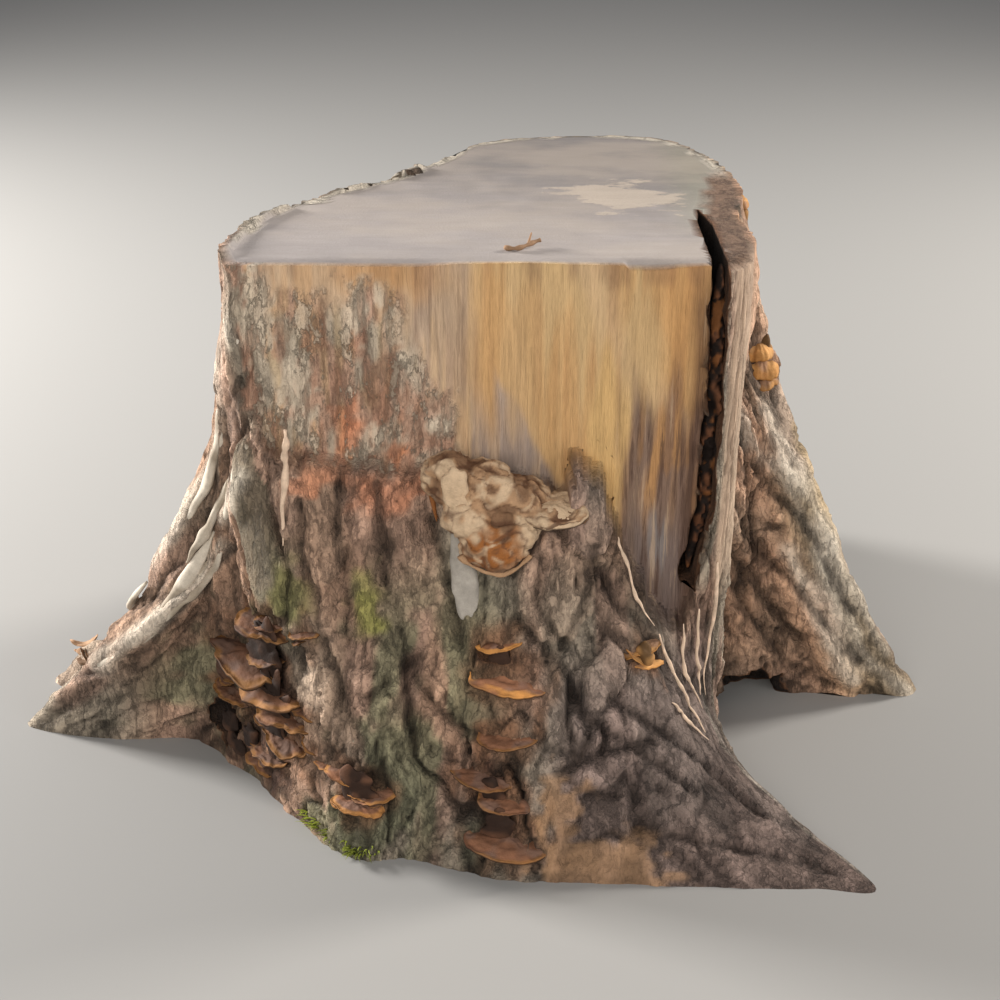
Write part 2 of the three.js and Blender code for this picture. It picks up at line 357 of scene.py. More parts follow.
class StumpColours(bpy.types.PropertyGroup):
    """Colours of the bark and the wood."""

    bark_brown: colour("Brown bark", "Bark of the front, dry and brown", 168, 135, 112)
    bark_grey: colour("Grey bark", "Weathered bark", 150, 137, 120)
    bark_pink: colour("Pink bark", "Fresh scales of the bark", 170, 138, 119)
    bark_olive: colour("Olive bark", "Bark with a film of algae", 120, 120, 93)
    bark_mauve: colour("Mauve bark", "Damp bark of the front root", 126, 109, 102)
    bark_warm: colour("Warm bark", "Bark of the right root", 192, 151, 121)
    # The crevice colour is painted shade in furrows, deep in the crack and hollows, and under the trunk.
    crevice: colour("Crevice", "Deep furrows and hollows", 40, 29, 22)
    crest: colour("Crest", "Pale crests of the bark", 192, 181, 165)
    stain: colour("Stain", "Bark stained by fungi", 124, 88, 64)
    amber: colour("Amber wood", "Sawn wood beside the crack", 188, 140, 88)
    slate: colour("Slate streak", "Dark grey streaks of the wood", 116, 101, 95)
    lining: colour("Lining", "Rotten lining of the crack and the hollows", 104, 72, 50)
    moss: colour("Moss", "Yellow-green moss film", 146, 143, 78)
    flake: colour("Bark flake", "Pale loose flake of bark", 156, 149, 139)
    plate: colour("Bark plate", "Smooth oval plate of bark", 136, 119, 107)
    slab: colour("Bark slab", "Smooth grey-green slab on the left", 104, 97, 80)
    plank: colour("Plank", "Split edge of the bark slab on the right", 178, 153, 130)
    rot: colour("Bare patch", "Tan rotted wood near the ground", 144, 111, 80)
    sawn_top: colour("Sawn top", "Weathered grey sawn top", 128, 121, 118)
    cream: colour("Cream patch", "Pale torn patch of the top", 178, 163, 146)
    beige: colour("Beige wood", "Sawn wood of the middle", 198, 169, 138)
    golden: colour("Golden wood", "Sawn wood of the right", 194, 162, 117)
    violet: colour("Violet stain", "Grey-violet stain of the wood", 158, 141, 131)
    streak: colour("Brown streak", "Brown streaks of the wood", 118, 86, 66)
    inner: colour("Inner bark", "Reddish remains of inner bark", 177, 143, 121)
    torn: colour("Torn bark", "Orange-red torn edge of the inner bark", 208, 128, 86)
    pale: colour("Pale flakes", "Whitish flakes on the sawn face", 200, 184, 162)
    # Shadowed bark is painted shade among and under the brackets.
    wet: colour("Wet bark", "Dark wet bark between the brackets", 66, 44, 33)


class FungusColours(bpy.types.PropertyGroup):
    """Colours of the fungi and of the loose pieces."""

    rust: colour("Rust", "Top of the rusty brackets", 140, 96, 70)
    ochre: colour("Ochre", "Growing rim of the brackets", 170, 118, 62)
    weathered: colour("Weathered", "Grey-brown old skin of the brackets", 132, 104, 90)
    # Umber stands for painted shade under the brackets and in the hollows of the crumbly crack.
    umber: colour("Umber", "Underside and cushions of the brackets", 38, 25, 18)
    gold: colour("Gold", "Top of the golden brackets", 184, 136, 82)
    crust_cream: colour("Crust", "Cream skin of the crust fungus", 192, 166, 136)
    crust_tan: colour("Crust tan", "Tan folds of the crust fungus", 164, 130, 98)
    crust_orange: colour("Crust orange", "Orange bulge of the crust fungus", 142, 88, 43)
    crust_brown: colour("Crust brown", "Hollows of the crust fungus", 84, 54, 36)
    strip: colour("Bark strip", "Edges of the peeling bark strips", 204, 178, 154)
    # Crust brown is the colour of the fibres and also painted shade in the crust's hollows and under it.
    twig: colour("Twig", "Dry twig and chip", 138, 108, 82)
    crumb: colour("Crumbs", "Rotten crumbs in the crack", 96, 60, 38)
    tuft: colour("Moss tuft", "Fresh moss at the ground", 128, 136, 48)


class StageLook(bpy.types.PropertyGroup):
    """Floor, lights and camera."""

    floor: colour("Floor", "Plain pale floor", 142, 140, 137)
    distance: bpy.props.FloatProperty(
        name="Distance", description="Camera to the middle of the stump",
        default=1.6, min=0.1, unit="LENGTH")
    elevation: bpy.props.FloatProperty(
        name="Elevation", description="Camera above the horizon",
        default=math.radians(27.0), subtype="ANGLE", unit="ROTATION")
    lens: bpy.props.FloatProperty(
        name="Lens", description="Focal length", default=57.6, min=1.0, unit="CAMERA")


def linear(shade):
    """Screen colour to the linear colour that shaders use."""
    values = np.array(shade, float)
    return np.where(values <= 0.04045, values / 12.92, ((values + 0.055) / 1.055) ** 2.4)


def palette(group):
    """Linear colours of a property group by name."""
    return {name: linear(getattr(group, name)) for name in group.__annotations__}


# Repeatable noise.

PRIMES = (374761393, 668265263, 1442695041)
WORD = 0xFFFFFFFF


def scatter(seed, *cell):
    """A repeatable number from 0 to 1 for each whole-numbered cell."""
    mixed = np.full_like(cell[0], seed * 7919 + 101)
    for axis, prime in zip(cell, PRIMES):
        mixed = (mixed ^ (axis * prime)) & WORD
        mixed = (mixed * 0x2C1B3C6D + 12345) & WORD
        mixed = mixed ^ (mixed >> 15)
    return mixed / WORD


def soft(seed, axes, around=0):
    """Smooth noise from -1 to 1. The first axis repeats after that many cells."""
    bases = [np.floor(axis).astype(np.int64) for axis in axes]
    parts = [axis - base for axis, base in zip(axes, bases)]
    parts = [part * part * (3 - 2 * part) for part in parts]
    total = 0.0
    for corner in itertools.product((0, 1), repeat=len(axes)):
        cell = [base + side for base, side in zip(bases, corner)]
        if around:
            cell[0] = cell[0] % around
        weight = 1.0
        for part, side in zip(parts, corner):
            weight = weight * (part if side else 1 - part)
        total = total + weight * scatter(seed, *cell)
    return 2 * total - 1


def cells(seed, across, up, around):
    """Gap to the border of the nearest scattered cell, and that cell's own number."""
    base_across = np.floor(across).astype(np.int64)
    base_up = np.floor(up).astype(np.int64)
    near = np.full(across.shape, 9.0)
    second = np.full(across.shape, 9.0)
    value = np.zeros(across.shape)
    for step_across, step_up in itertools.product((-1, 0, 1), repeat=2):
        cell_across = base_across + step_across
        cell_up = base_up + step_up
        folded = cell_across % around
        gap_across = cell_across + 0.1 + 0.8 * scatter(seed, folded, cell_up) - across
        gap_up = cell_up + 0.1 + 0.8 * scatter(seed + 1, folded, cell_up) - up
        gap = np.hypot(gap_across, gap_up)
        closer = gap < near
        second = np.where(closer, near, np.minimum(second, gap))
        value = np.where(closer, scatter(seed + 2, folded, cell_up), value)
        near = np.where(closer, gap, near)
    return second - near, value


def step(low, high, value):
    """Smooth step from 0 at low to 1 at high."""
    share = np.clip((value - low) / (high - low), 0, 1)
    return share * share * (3 - 2 * share)


def band(low, high, edge, value):
    """1 between low and high, falling off over edge."""
    return step(low - edge, low + edge, value) * (1 - step(high - edge, high + edge, value))


def mix(first, second, share):
    """Colours or numbers mixed point by point."""
    share = np.asarray(share)
    if np.shape(first) not in ((), share.shape):
        share = share[..., None]
    return first + (second - first) * share


def unit(vectors):
    """Vectors of length one."""
    return vectors / np.linalg.norm(vectors, axis=-1, keepdims=True)


def in_cells(places, size):
    """Coordinates of places, counted in noise cells of that size."""
    return tuple(np.moveaxis(places / size, -1, 0))


def full_turn(columns):
    """Angles once round, evenly spaced."""
    return np.arange(columns) / columns * 2 * np.pi


# Form of the trunk.

def closed_curve(first, last, turn):
    """Smooth closed curve through the stations' columns from first to last."""
    rows = STATIONS[:, first:last]
    count = len(rows)
    place = (np.asarray(turn) % 1.0) * count
    base = np.floor(place).astype(int)
    part = (place - base)[..., None]
    before, here, after, beyond = (rows[(base + k) % count] for k in (-1, 0, 1, 2))
    bend = 2 * before - 5 * here + 4 * after - beyond
    twist = 3 * here - before - 3 * after + beyond
    return here + 0.5 * ((after - before) * part + bend * part ** 2 + twist * part ** 3)


def outline(turn, height):
    """Plan of the trunk at a height, in millimetres."""
    count = len(STATIONS)
    place = (np.asarray(turn) % 1.0) * count
    base = np.floor(place).astype(int)
    flare = mix(STATIONS[base % count, 4], STATIONS[(base + 1) % count, 4], place - base)
    spread = (1 - np.clip(np.asarray(height) / HEIGHT, 0, 1)) ** flare
    return mix(closed_curve(0, 2, turn), closed_curve(2, 4, turn), spread)


def outward(turn, height):
    """Level direction out of the bark."""
    along = unit(outline(turn + 2e-4, height) - outline(turn - 2e-4, height))
    return np.stack((along[..., 1], -along[..., 0]), -1)


def waist():
    """Turns and lengths along the waist, half way between the rim and the ground."""
    turns = np.linspace(0, 1, 4001)
    ring = 0.5 * (closed_curve(0, 2, turns) + closed_curve(2, 4, turns))
    gaps = np.hypot(*np.diff(ring, axis=0).T)
    return turns, np.concatenate(((0,), np.cumsum(gaps)))


WAIST_TURNS, WAIST_LENGTHS = waist()
GIRTH = WAIST_LENGTHS[-1]


def at_bark(station, height):
    """Points on the bark at stations and heights, in millimetres."""
    plan = outline(station / len(STATIONS), height)
    return np.concatenate((plan, np.asarray(height)[..., None]), axis=-1)


def strung(points, steps):
    """Counts, stations and heights in even steps from point to point."""
    points = np.array(points, float)
    corners = np.arange(len(points))
    count = np.linspace(0, corners[-1], steps * corners[-1] + 1)
    station, height = (np.interp(count, corners, points[:, axis]) for axis in (0, 1))
    return count, station, height


def along_bark(points, steps=9):
    """Points along the bark through stations and heights, in millimetres."""
    return at_bark(*strung(points, steps)[1:])


def gap_to(places, line):
    """Distance of places from a line of points."""
    nearest = np.full(places.shape[:2], 1e9)
    for start, end in zip(line, line[1:]):
        run = end - start
        share = np.clip((places - start) @ run / (run @ run), 0, 1)
        nearest = np.minimum(nearest, np.linalg.norm(places - start - share[..., None] * run, axis=-1))
    return nearest


def inside(points, corners):
    """Distance to the edge of a flat outline, above zero inside it."""
    across, up = points
    nearest = np.full(across.shape, 1e9)
    within = np.zeros(across.shape, bool)
    for (ax, ay), (bx, by) in zip(corners, np.roll(corners, -1, axis=0)):
        dx, dy = bx - ax, by - ay
        share = np.clip(((across - ax) * dx + (up - ay) * dy) / (dx * dx + dy * dy), 0, 1)
        gap = np.hypot(across - ax - share * dx, up - ay - share * dy)
        nearest = np.minimum(nearest, gap)
        if ay != by:
            crosses = ((ay > up) != (by > up)) & (across < ax + (up - ay) * dx / dy)
            within = within ^ crosses
    return np.where(within, nearest, -nearest)


# Meshes from bmesh grids that are wrapped round.

def colour_layer(mesh, name, shades):
    """Writes a colour per point into a new layer of a mesh."""
    layer = mesh.attributes.new(name, "FLOAT_COLOR", "POINT")
    solid = np.concatenate((shades, np.ones((len(shades), 1))), axis=1)
    layer.data.foreach_set("color", solid.astype(np.float32).ravel())


def wrapped(places, layers):
    """A bmesh grid laid on rows of points and closed round, with a value per point in each layer."""
    rows, columns = places.shape[:2]
    sheet = bmesh.new()
    bmesh.ops.create_grid(sheet, x_segments=columns, y_segments=rows - 1, size=1.0)
    mesh = bpy.data.meshes.new("wrapped")
    sheet.to_mesh(mesh)
    sheet.free()
    index = np.arange(rows * (columns + 1))
    row, column = index // (columns + 1), index % (columns + 1)
    points = places[row, column % columns] * MM
    mesh.vertices.foreach_set("co", points.astype(np.float32).ravel())
    for name, values in layers.items():
        picked = values[row, column % columns]
        if picked.ndim == 2:
            colour_layer(mesh, name, picked)
        else:
            layer = mesh.attributes.new(name, "FLOAT", "POINT")
            layer.data.foreach_set("value", picked.astype(np.float32))
    sheet = bmesh.new()
    sheet.from_mesh(mesh)
    bpy.data.meshes.remove(mesh)
    sheet.verts.ensure_lookup_table()
    border = (column == 0) | (column == columns) | (row == 0) | (row == rows - 1)
    edge = [sheet.verts[k] for k in np.nonzero(border)[0]]
    bmesh.ops.remove_doubles(sheet, verts=edge, dist=1e-7)
    return sheet


def painted(places, shade):
    """A closed bmesh on rows of points, in one colour or with a colour per point."""
    return wrapped(places, {"tint": np.broadcast_to(shade, places.shape)})


def joined(parts):
    """One mesh of several bmesh parts, which are freed."""
    whole = bmesh.new()
    for part in parts:
        mesh = bpy.data.meshes.new("part")
        part.to_mesh(mesh)
        part.free()
        whole.from_mesh(mesh)
        bpy.data.meshes.remove(mesh)
    mesh = bpy.data.meshes.new("piece")
    whole.to_mesh(mesh)
    whole.free()
    return mesh


def placed(name, mesh):
    """An object at the origin that holds a mesh."""
    mesh.name = name
    mesh.shade_smooth()
    piece = bpy.data.objects.new(name, mesh)
    bpy.context.scene.collection.objects.link(piece)
    return piece


def dressed(name, mesh, finish, slot, *nodes):
    """A finished piece of the stump that stands for the given nodes."""
    piece = placed(name, mesh)
    mesh.materials.clear()
    mesh.materials.append(finish)
    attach(piece, "root")
    if nodes:
        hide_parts(*nodes)
    return piece


def discarded(piece):
    """Removes an object and its mesh."""
    bare = piece.data
    bpy.data.objects.remove(piece)
    bpy.data.meshes.remove(bare)


def baked(piece):
    """The mesh of an object with its modifiers applied. The object is removed."""
    seen = piece.evaluated_get(bpy.context.evaluated_depsgraph_get())
    mesh = bpy.data.meshes.new_from_object(seen)
    discarded(piece)
    return mesh


def ball(half_sizes, centre, columns, rows):
    """Rows of points on an ellipsoid, from its lowest point up."""
    rise = np.linspace(-np.pi / 2, np.pi / 2, rows)
    rise, turn = np.meshgrid(rise, full_turn(columns), indexing="ij")
    round_one = np.stack((np.cos(rise) * np.cos(turn), np.cos(rise) * np.sin(turn), np.sin(rise)), -1)
    return round_one * np.array(half_sizes, float) + np.array(centre, float)


def on_bark(places, station, height, sink):
    """Turns level points so that -Y faces out of the bark, and moves them to a station and height."""
    turn = station / len(STATIONS)
    normal = outward(np.array(turn), height)
    centre = outline(np.array(turn), height) - normal * sink
    heading = math.atan2(normal[1], normal[0]) + math.pi / 2
    cosine, sine = math.cos(heading), math.sin(heading)
    return np.stack((
        places[..., 0] * cosine - places[..., 1] * sine + centre[0],
        places[..., 0] * sine + places[..., 1] * cosine + centre[1],
        places[..., 2] + height,
    ), -1)


def draped(places, station, height):
    """Upright points laid on the bark at a station and height, following its slope. -Y faces out."""
    turn = np.full(places.shape[:-1], station / len(STATIONS))
    up = height + places[..., 2]
    normal = outward(turn, up)
    along = np.stack((-normal[..., 1], normal[..., 0]), -1)
    plan = outline(turn, up) + along * places[..., :1] - normal * places[..., 1:2]
    return np.concatenate((plan, up[..., None]), axis=-1)


def tilted(places, degrees):
    """Points turned about the Y axis."""
    cosine, sine = math.cos(math.radians(degrees)), math.sin(math.radians(degrees))
    return np.stack((
        places[..., 0] * cosine + places[..., 2] * sine,
        places[..., 1],
        places[..., 2] * cosine - places[..., 0] * sine,
    ), -1)


def capped(path, body):
    """Rows of points round a path, closed to a point at both ends."""
    first, last = (np.broadcast_to(path[end], (1, *body.shape[1:])) for end in (0, -1))
    return np.concatenate((first, body, last))


def rod(path, thick, columns=14):
    """Rows of points round a path with a radius per point, closed to a point at both ends."""
    path = np.array(path, float)
    ahead = unit(np.gradient(path, axis=0))
    aside = unit(np.cross(ahead, (0.3, 0.2, 1.0)))
    over = np.cross(ahead, aside)
    turn = full_turn(columns)[:, None]
    ring = np.cos(turn) * aside[:, None] + np.sin(turn) * over[:, None]
    return capped(path, path[:, None] + ring * np.asarray(thick, float)[:, None, None])


def strap(points, half_wide, seed):
    """Rows of points round a flat strap that follows the bark."""
    columns, steps, lift, half_thick = 16, 14, 4, 4.5
    count, station, height = strung(points, steps)
    for _ in range(10):
        station[1:-1] = (station[:-2] + 2 * station[1:-1] + station[2:]) / 4
    station = station + 0.12 * soft(seed, (count * 2.5,))
    normal = outward(station / len(STATIONS), height)
    normal = unit(np.concatenate((normal, np.full((len(normal), 1), 0.35)), axis=1))
    path = at_bark(station, height) + lift * normal
    aside = unit(np.cross(normal, np.gradient(path, axis=0)))
    taper = np.sin(np.pi * (0.03 + 0.94 * count / count[-1])) ** 0.6
    wide = half_wide * taper * (1 + 0.35 * soft(seed + 1, (count * 4,)))
    turn = full_turn(columns)[:, None]
    ring = np.cos(turn) * (aside * wide[:, None])[:, None]
    ring = ring + np.sin(turn) * (normal * (half_thick * taper)[:, None])[:, None]
    return capped(path, path[:, None] + ring)


# Finishes.

class Value:
    """A number in a material, with Python arithmetic."""

    def __init__(self, finish, socket):
        self.finish = finish
        self.socket = socket

    def combined(self, operation, first, second):
        """The result of a Math node."""
        return self.finish.node("ShaderNodeMath", {"operation": operation}, {0: first, 1: second})

    def __add__(self, other):
        return self.combined("ADD", self, other)

    def __radd__(self, other):
        return self.combined("ADD", other, self)

    def __sub__(self, other):
        return self.combined("SUBTRACT", self, other)

    def __rsub__(self, other):
        return self.combined("SUBTRACT", other, self)

    def __mul__(self, other):
        return self.combined("MULTIPLY", self, other)

    def __rmul__(self, other):
        return self.combined("MULTIPLY", other, self)

    def __abs__(self):
        return self.combined("ABSOLUTE", self, 0.0)


class Finish:
    """A material under construction."""

    def __init__(self, name):
        self.material = bpy.data.materials.new(name)
        self.material.use_nodes = True
        self.tree = self.material.node_tree
        self.shader = self.tree.nodes["Principled BSDF"]
        self.place = self.node("ShaderNodeTexCoord", {}, {}, "Object")

    def feed(self, socket, value):
        """Links a value to a socket, or sets the socket to a number or colour."""
        if isinstance(value, Value):
            self.tree.links.new(value.socket, socket)
        else:
            socket.default_value = value

    def node(self, kind, settings, inputs, output=0):
        """An output of a new node."""
        made = self.tree.nodes.new(kind)
        for name, value in settings.items():
            setattr(made, name, value)
        for name, value in inputs.items():
            self.feed(made.inputs[name], value)
        return Value(self, made.outputs[output])

    def layer(self, name, output):
        """A layer of the mesh."""
        return self.node("ShaderNodeAttribute", {"attribute_name": name}, {}, output)

    def stretched(self, scale, turn=(0.0, 0.0, 0.0)):
        """The place on the piece, scaled and turned."""
        return self.node("ShaderNodeMapping", {}, {
            "Vector": self.place, "Rotation": turn, "Scale": scale})

    def noise(self, scale, detail, roughness=0.55, place=None):
        """Noise from 0 to 1."""
        return self.node("ShaderNodeTexNoise", {}, {
            "Vector": place or self.place, "Scale": scale, "Detail": detail,
            "Roughness": roughness}, "Fac")

    def ramp(self, value, low, high):
        """Smooth step from 0 at low to 1 at high."""
        return self.node("ShaderNodeMapRange", {"interpolation_type": "SMOOTHSTEP"}, {
            "Value": value, "From Min": low, "From Max": high})

    def distance(self, centre, reach):
        """Distance from a centre, 1 on the rim of the ellipsoid."""
        apart = self.node("ShaderNodeVectorMath", {"operation": "SUBTRACT"}, {0: self.place, 1: centre})
        apart = self.node("ShaderNodeVectorMath", {"operation": "DIVIDE"}, {0: apart, 1: reach})
        return self.node("ShaderNodeVectorMath", {"operation": "LENGTH"}, {0: apart}, "Value")

    def shaded(self, shade, factor):
        """A colour made darker or lighter."""
        return self.node("ShaderNodeVectorMath", {"operation": "SCALE"}, {0: shade, "Scale": factor})

    def blend(self, share, first, second):
        """Two colours mixed."""
        return self.node("ShaderNodeMix", {"data_type": "RGBA"}, {0: share, 6: first, 7: second}, 2)

    def close(self, shade, roughness, height, strength, depth):
        """The material with its colour and relief."""
        bump = self.node("ShaderNodeBump", {}, {
            "Strength": strength, "Distance": depth, "Height": height}, "Normal")
        self.feed(self.shader.inputs["Base Color"], shade)
        self.feed(self.shader.inputs["Roughness"], roughness)
        self.feed(self.shader.inputs["Normal"], bump)
        self.shader.inputs["Specular IOR Level"].default_value = 0.3
        return self.material


def stump_finish(hue):
    """Bark, sawn face and sawn top, told apart by the mesh's own layers."""
    finish = Finish("stump_surface")
    tint = finish.layer("tint", "Color")
    grain = finish.layer("grain", "Fac")
    sawn = finish.layer("sawn", "Fac")
    flaky = finish.layer("flaky", "Fac")
    streaky = finish.layer("streaky", "Fac")
    upright = finish.stretched((1.0, 1.0, 0.5))
    coarse = finish.noise(75.0, 8.0, 0.68, upright)
    fine = finish.noise(420.0, 4.0, 0.6)
    tall = finish.stretched((1.0, 1.0, 0.28))
    cracks = finish.ramp(abs(finish.noise(46.0, 6.0, 0.62, tall) - 0.5), 0.0, 0.04)
    nicks = finish.ramp(abs(finish.noise(130.0, 4.0, 0.6, upright) - 0.5), 0.0, 0.05)
    fibre = finish.noise(330.0, 4.0, 0.6, finish.stretched((1.0, 1.0, 0.045)))
    thread = finish.noise(1100.0, 2.0, 0.5, finish.stretched((1.0, 1.0, 0.03)))
    marks = finish.noise(110.0, 5.0, 0.65, finish.stretched((0.2, 1.0, 1.0), (0.0, 0.0, 0.16)))
    broad = finish.noise(13.0, 6.0, 0.6, finish.stretched((0.55, 1.0, 1.0)))
    # Thin cracks and nicks are darkened as painted shade.
    bark = (0.5 + 1.1 * coarse) * (0.76 + 0.48 * fine) * (0.7 + 0.3 * cracks) * (0.84 + 0.16 * nicks)
    streaks = finish.noise(85.0, 7.0, 0.62, finish.stretched((1.0, 1.0, 0.07)))
    wood = (0.66 + 0.68 * streaks) * (0.76 + 0.48 * fibre) * (0.92 + 0.16 * thread)
    top = (0.68 + 0.36 * marks + 0.5 * broad) * (0.92 + 0.16 * fine)
    rough = 1.0 - grain - sawn
    shade = finish.shaded(tint, grain * wood + sawn * top + rough * bark)
    stains = finish.noise(64.0, 10.0, 0.7, finish.stretched((1.0, 1.0, 0.18)))
    stains = finish.ramp(stains, 0.5, 0.6) * flaky
    shade = finish.blend(0.42 * stains, shade, (*(hue["inner"] * (0.72, 0.58, 0.52)), 1.0))
    chips = finish.noise(52.0, 10.0, 0.72, finish.stretched((1.0, 1.0, 0.45)))
    chips = finish.ramp(chips, 0.53, 0.58) * flaky
    shade = finish.blend(0.66 * chips, shade, finish.shaded((*hue["pale"],), 0.7 + 0.6 * fine))
    bands = finish.noise(105.0, 9.0, 0.66, finish.stretched((1.0, 1.0, 0.06)))
    dark = finish.ramp(bands, 0.53, 0.6) * streaky
    shade = finish.blend(0.72 * dark, shade, (*(hue["streak"] * (0.45, 0.47, 0.55)), 1.0))
    light = (1.0 - finish.ramp(bands, 0.38, 0.46)) * streaky
    shade = finish.blend(0.45 * light, shade, (*hue["beige"], 1.0))
    warmth = finish.ramp(finish.noise(9.0, 5.0, 0.6, finish.stretched((0.5, 1.0, 1.0))), 0.4, 0.62) * sawn
    shade = finish.blend(0.3 * warmth, shade, (*hue["cream"], 1.0))
    torn = finish.distance((0.092, 0.022, 0.505), (0.064, 0.058, 0.2))
    torn = torn + 2.6 * finish.noise(34.0, 7.0, 0.65, finish.stretched((0.5, 1.0, 1.0))) - 1.3
    torn = (1.0 - finish.ramp(torn, 0.62, 0.86)) * sawn * 0.62
    cream = finish.shaded((*hue["cream"],), 0.75 + 0.3 * marks + 0.3 * fine)
    shade = finish.blend(torn, shade, cream)
    relief = rough * (coarse + 0.32 * fine + 0.3 * cracks + 0.16 * nicks)
    relief = relief + 0.3 * chips - 0.25 * stains
    relief = relief + grain * (0.45 * fibre + 0.2 * thread)
    relief = relief + sawn * (0.07 * marks + 0.06 * fine + 0.1 * torn)
    return finish.close(shade, 0.96 - 0.14 * (grain + sawn), relief, 1.0, 0.007)


def skin_finish(name, scale, contrast, depth):
    """Dull skin of a fungus, twig or moss, coloured by the mesh's own layer."""
    finish = Finish(name)
    tint = finish.layer("tint", "Color")
    coarse = finish.noise(scale, 5.0, 0.6)
    fine = finish.noise(scale * 5.0, 2.0)
    factor = (1.0 - contrast + 2.0 * contrast * coarse) * (0.86 + 0.28 * fine)
    return finish.close(finish.shaded(tint, factor), 0.85, coarse + 0.3 * fine, 0.6, depth)


# Trunk.

COLUMNS = 540
SIDE_ROWS = 150
ROW_CROWDING = 1.22
TOP_ROWS = 17
RIM_INSET = 0.028
TOP_CENTRE = np.array((0.0, 20.0))
SHARP = math.radians(58)


def spaced_turns():
    """Turns of the trunk's columns, closer together on the front, and their lengths along the waist."""
    facing = -outward(WAIST_TURNS, 0.5 * HEIGHT)[:, 1]
    density = 1.0 + 0.75 * step(-0.1, 0.6, facing)
    gaps = np.diff(WAIST_LENGTHS) * 0.5 * (density[1:] + density[:-1])
    crowded = np.concatenate(((0,), np.cumsum(gaps)))
    goals = np.arange(COLUMNS) / COLUMNS * crowded[-1]
    turns = np.interp(goals, crowded, WAIST_TURNS)
    return turns, np.interp(turns, WAIST_TURNS, WAIST_LENGTHS)


class Side:
    """Points of the trunk's side with what the bark's pattern needs to know of them."""

    def __init__(self):
        turns, lengths = spaced_turns()
        heights = HEIGHT * (np.arange(SIDE_ROWS + 1) / SIDE_ROWS) ** ROW_CROWDING
        self.height, turn = np.meshgrid(heights, turns, indexing="ij")
        self.along = np.broadcast_to(lengths, turn.shape)
        self.station = turn * len(STATIONS)
        self.place = np.dstack((outline(turn, self.height), self.height))
        across = np.roll(self.place, -1, 1) - np.roll(self.place, 1, 1)
        rise = np.gradient(self.place, axis=0)
        self.normal = unit(np.cross(across, rise))
        climbed = np.linalg.norm(np.diff(self.place, axis=0), axis=-1)
        self.climb = np.concatenate((np.zeros((1, COLUMNS)), np.cumsum(climbed, axis=0)))
        gaps = np.roll(lengths, -1) - np.roll(lengths, 1)
        gaps = np.where(gaps < 0, gaps + GIRTH, gaps)
        self.stretch = np.linalg.norm(across, axis=-1) / gaps

    def noise(self, seed, wide, tall, shift=0.0):
        """Smooth noise with cells of that width and height in millimetres."""
        around = max(1, round(GIRTH / wide))
        return soft(seed, ((self.along + shift) / GIRTH * around, self.climb / tall), around)

    def scales(self, seed, wide, tall, shift):
        """Border gap and own number of bark scales of that width and height."""
        around = max(1, round(GIRTH / wide))
        return cells(seed, (self.along + shift) / GIRTH * around, self.climb / tall, around)

    def patch(self, station, height, half_wide, half_tall, lean=0):
        """Distance from a spot on the bark, 1 on the rim of the oval."""
        column = np.argmin(np.abs(self.station[0] - station))
        row = np.argmin(np.abs(self.height[:, 0] - height))
        across = self.along - self.along[row, column]
        across = (across + GIRTH / 2) % GIRTH - GIRTH / 2
        across = across * self.stretch[row, column]
        rise = self.climb - self.climb[row, column]
        cosine, sine = math.cos(math.radians(lean)), math.sin(math.radians(lean))
        return np.hypot((across * cosine + rise * sine) / half_wide,
                        (rise * cosine - across * sine) / half_tall)


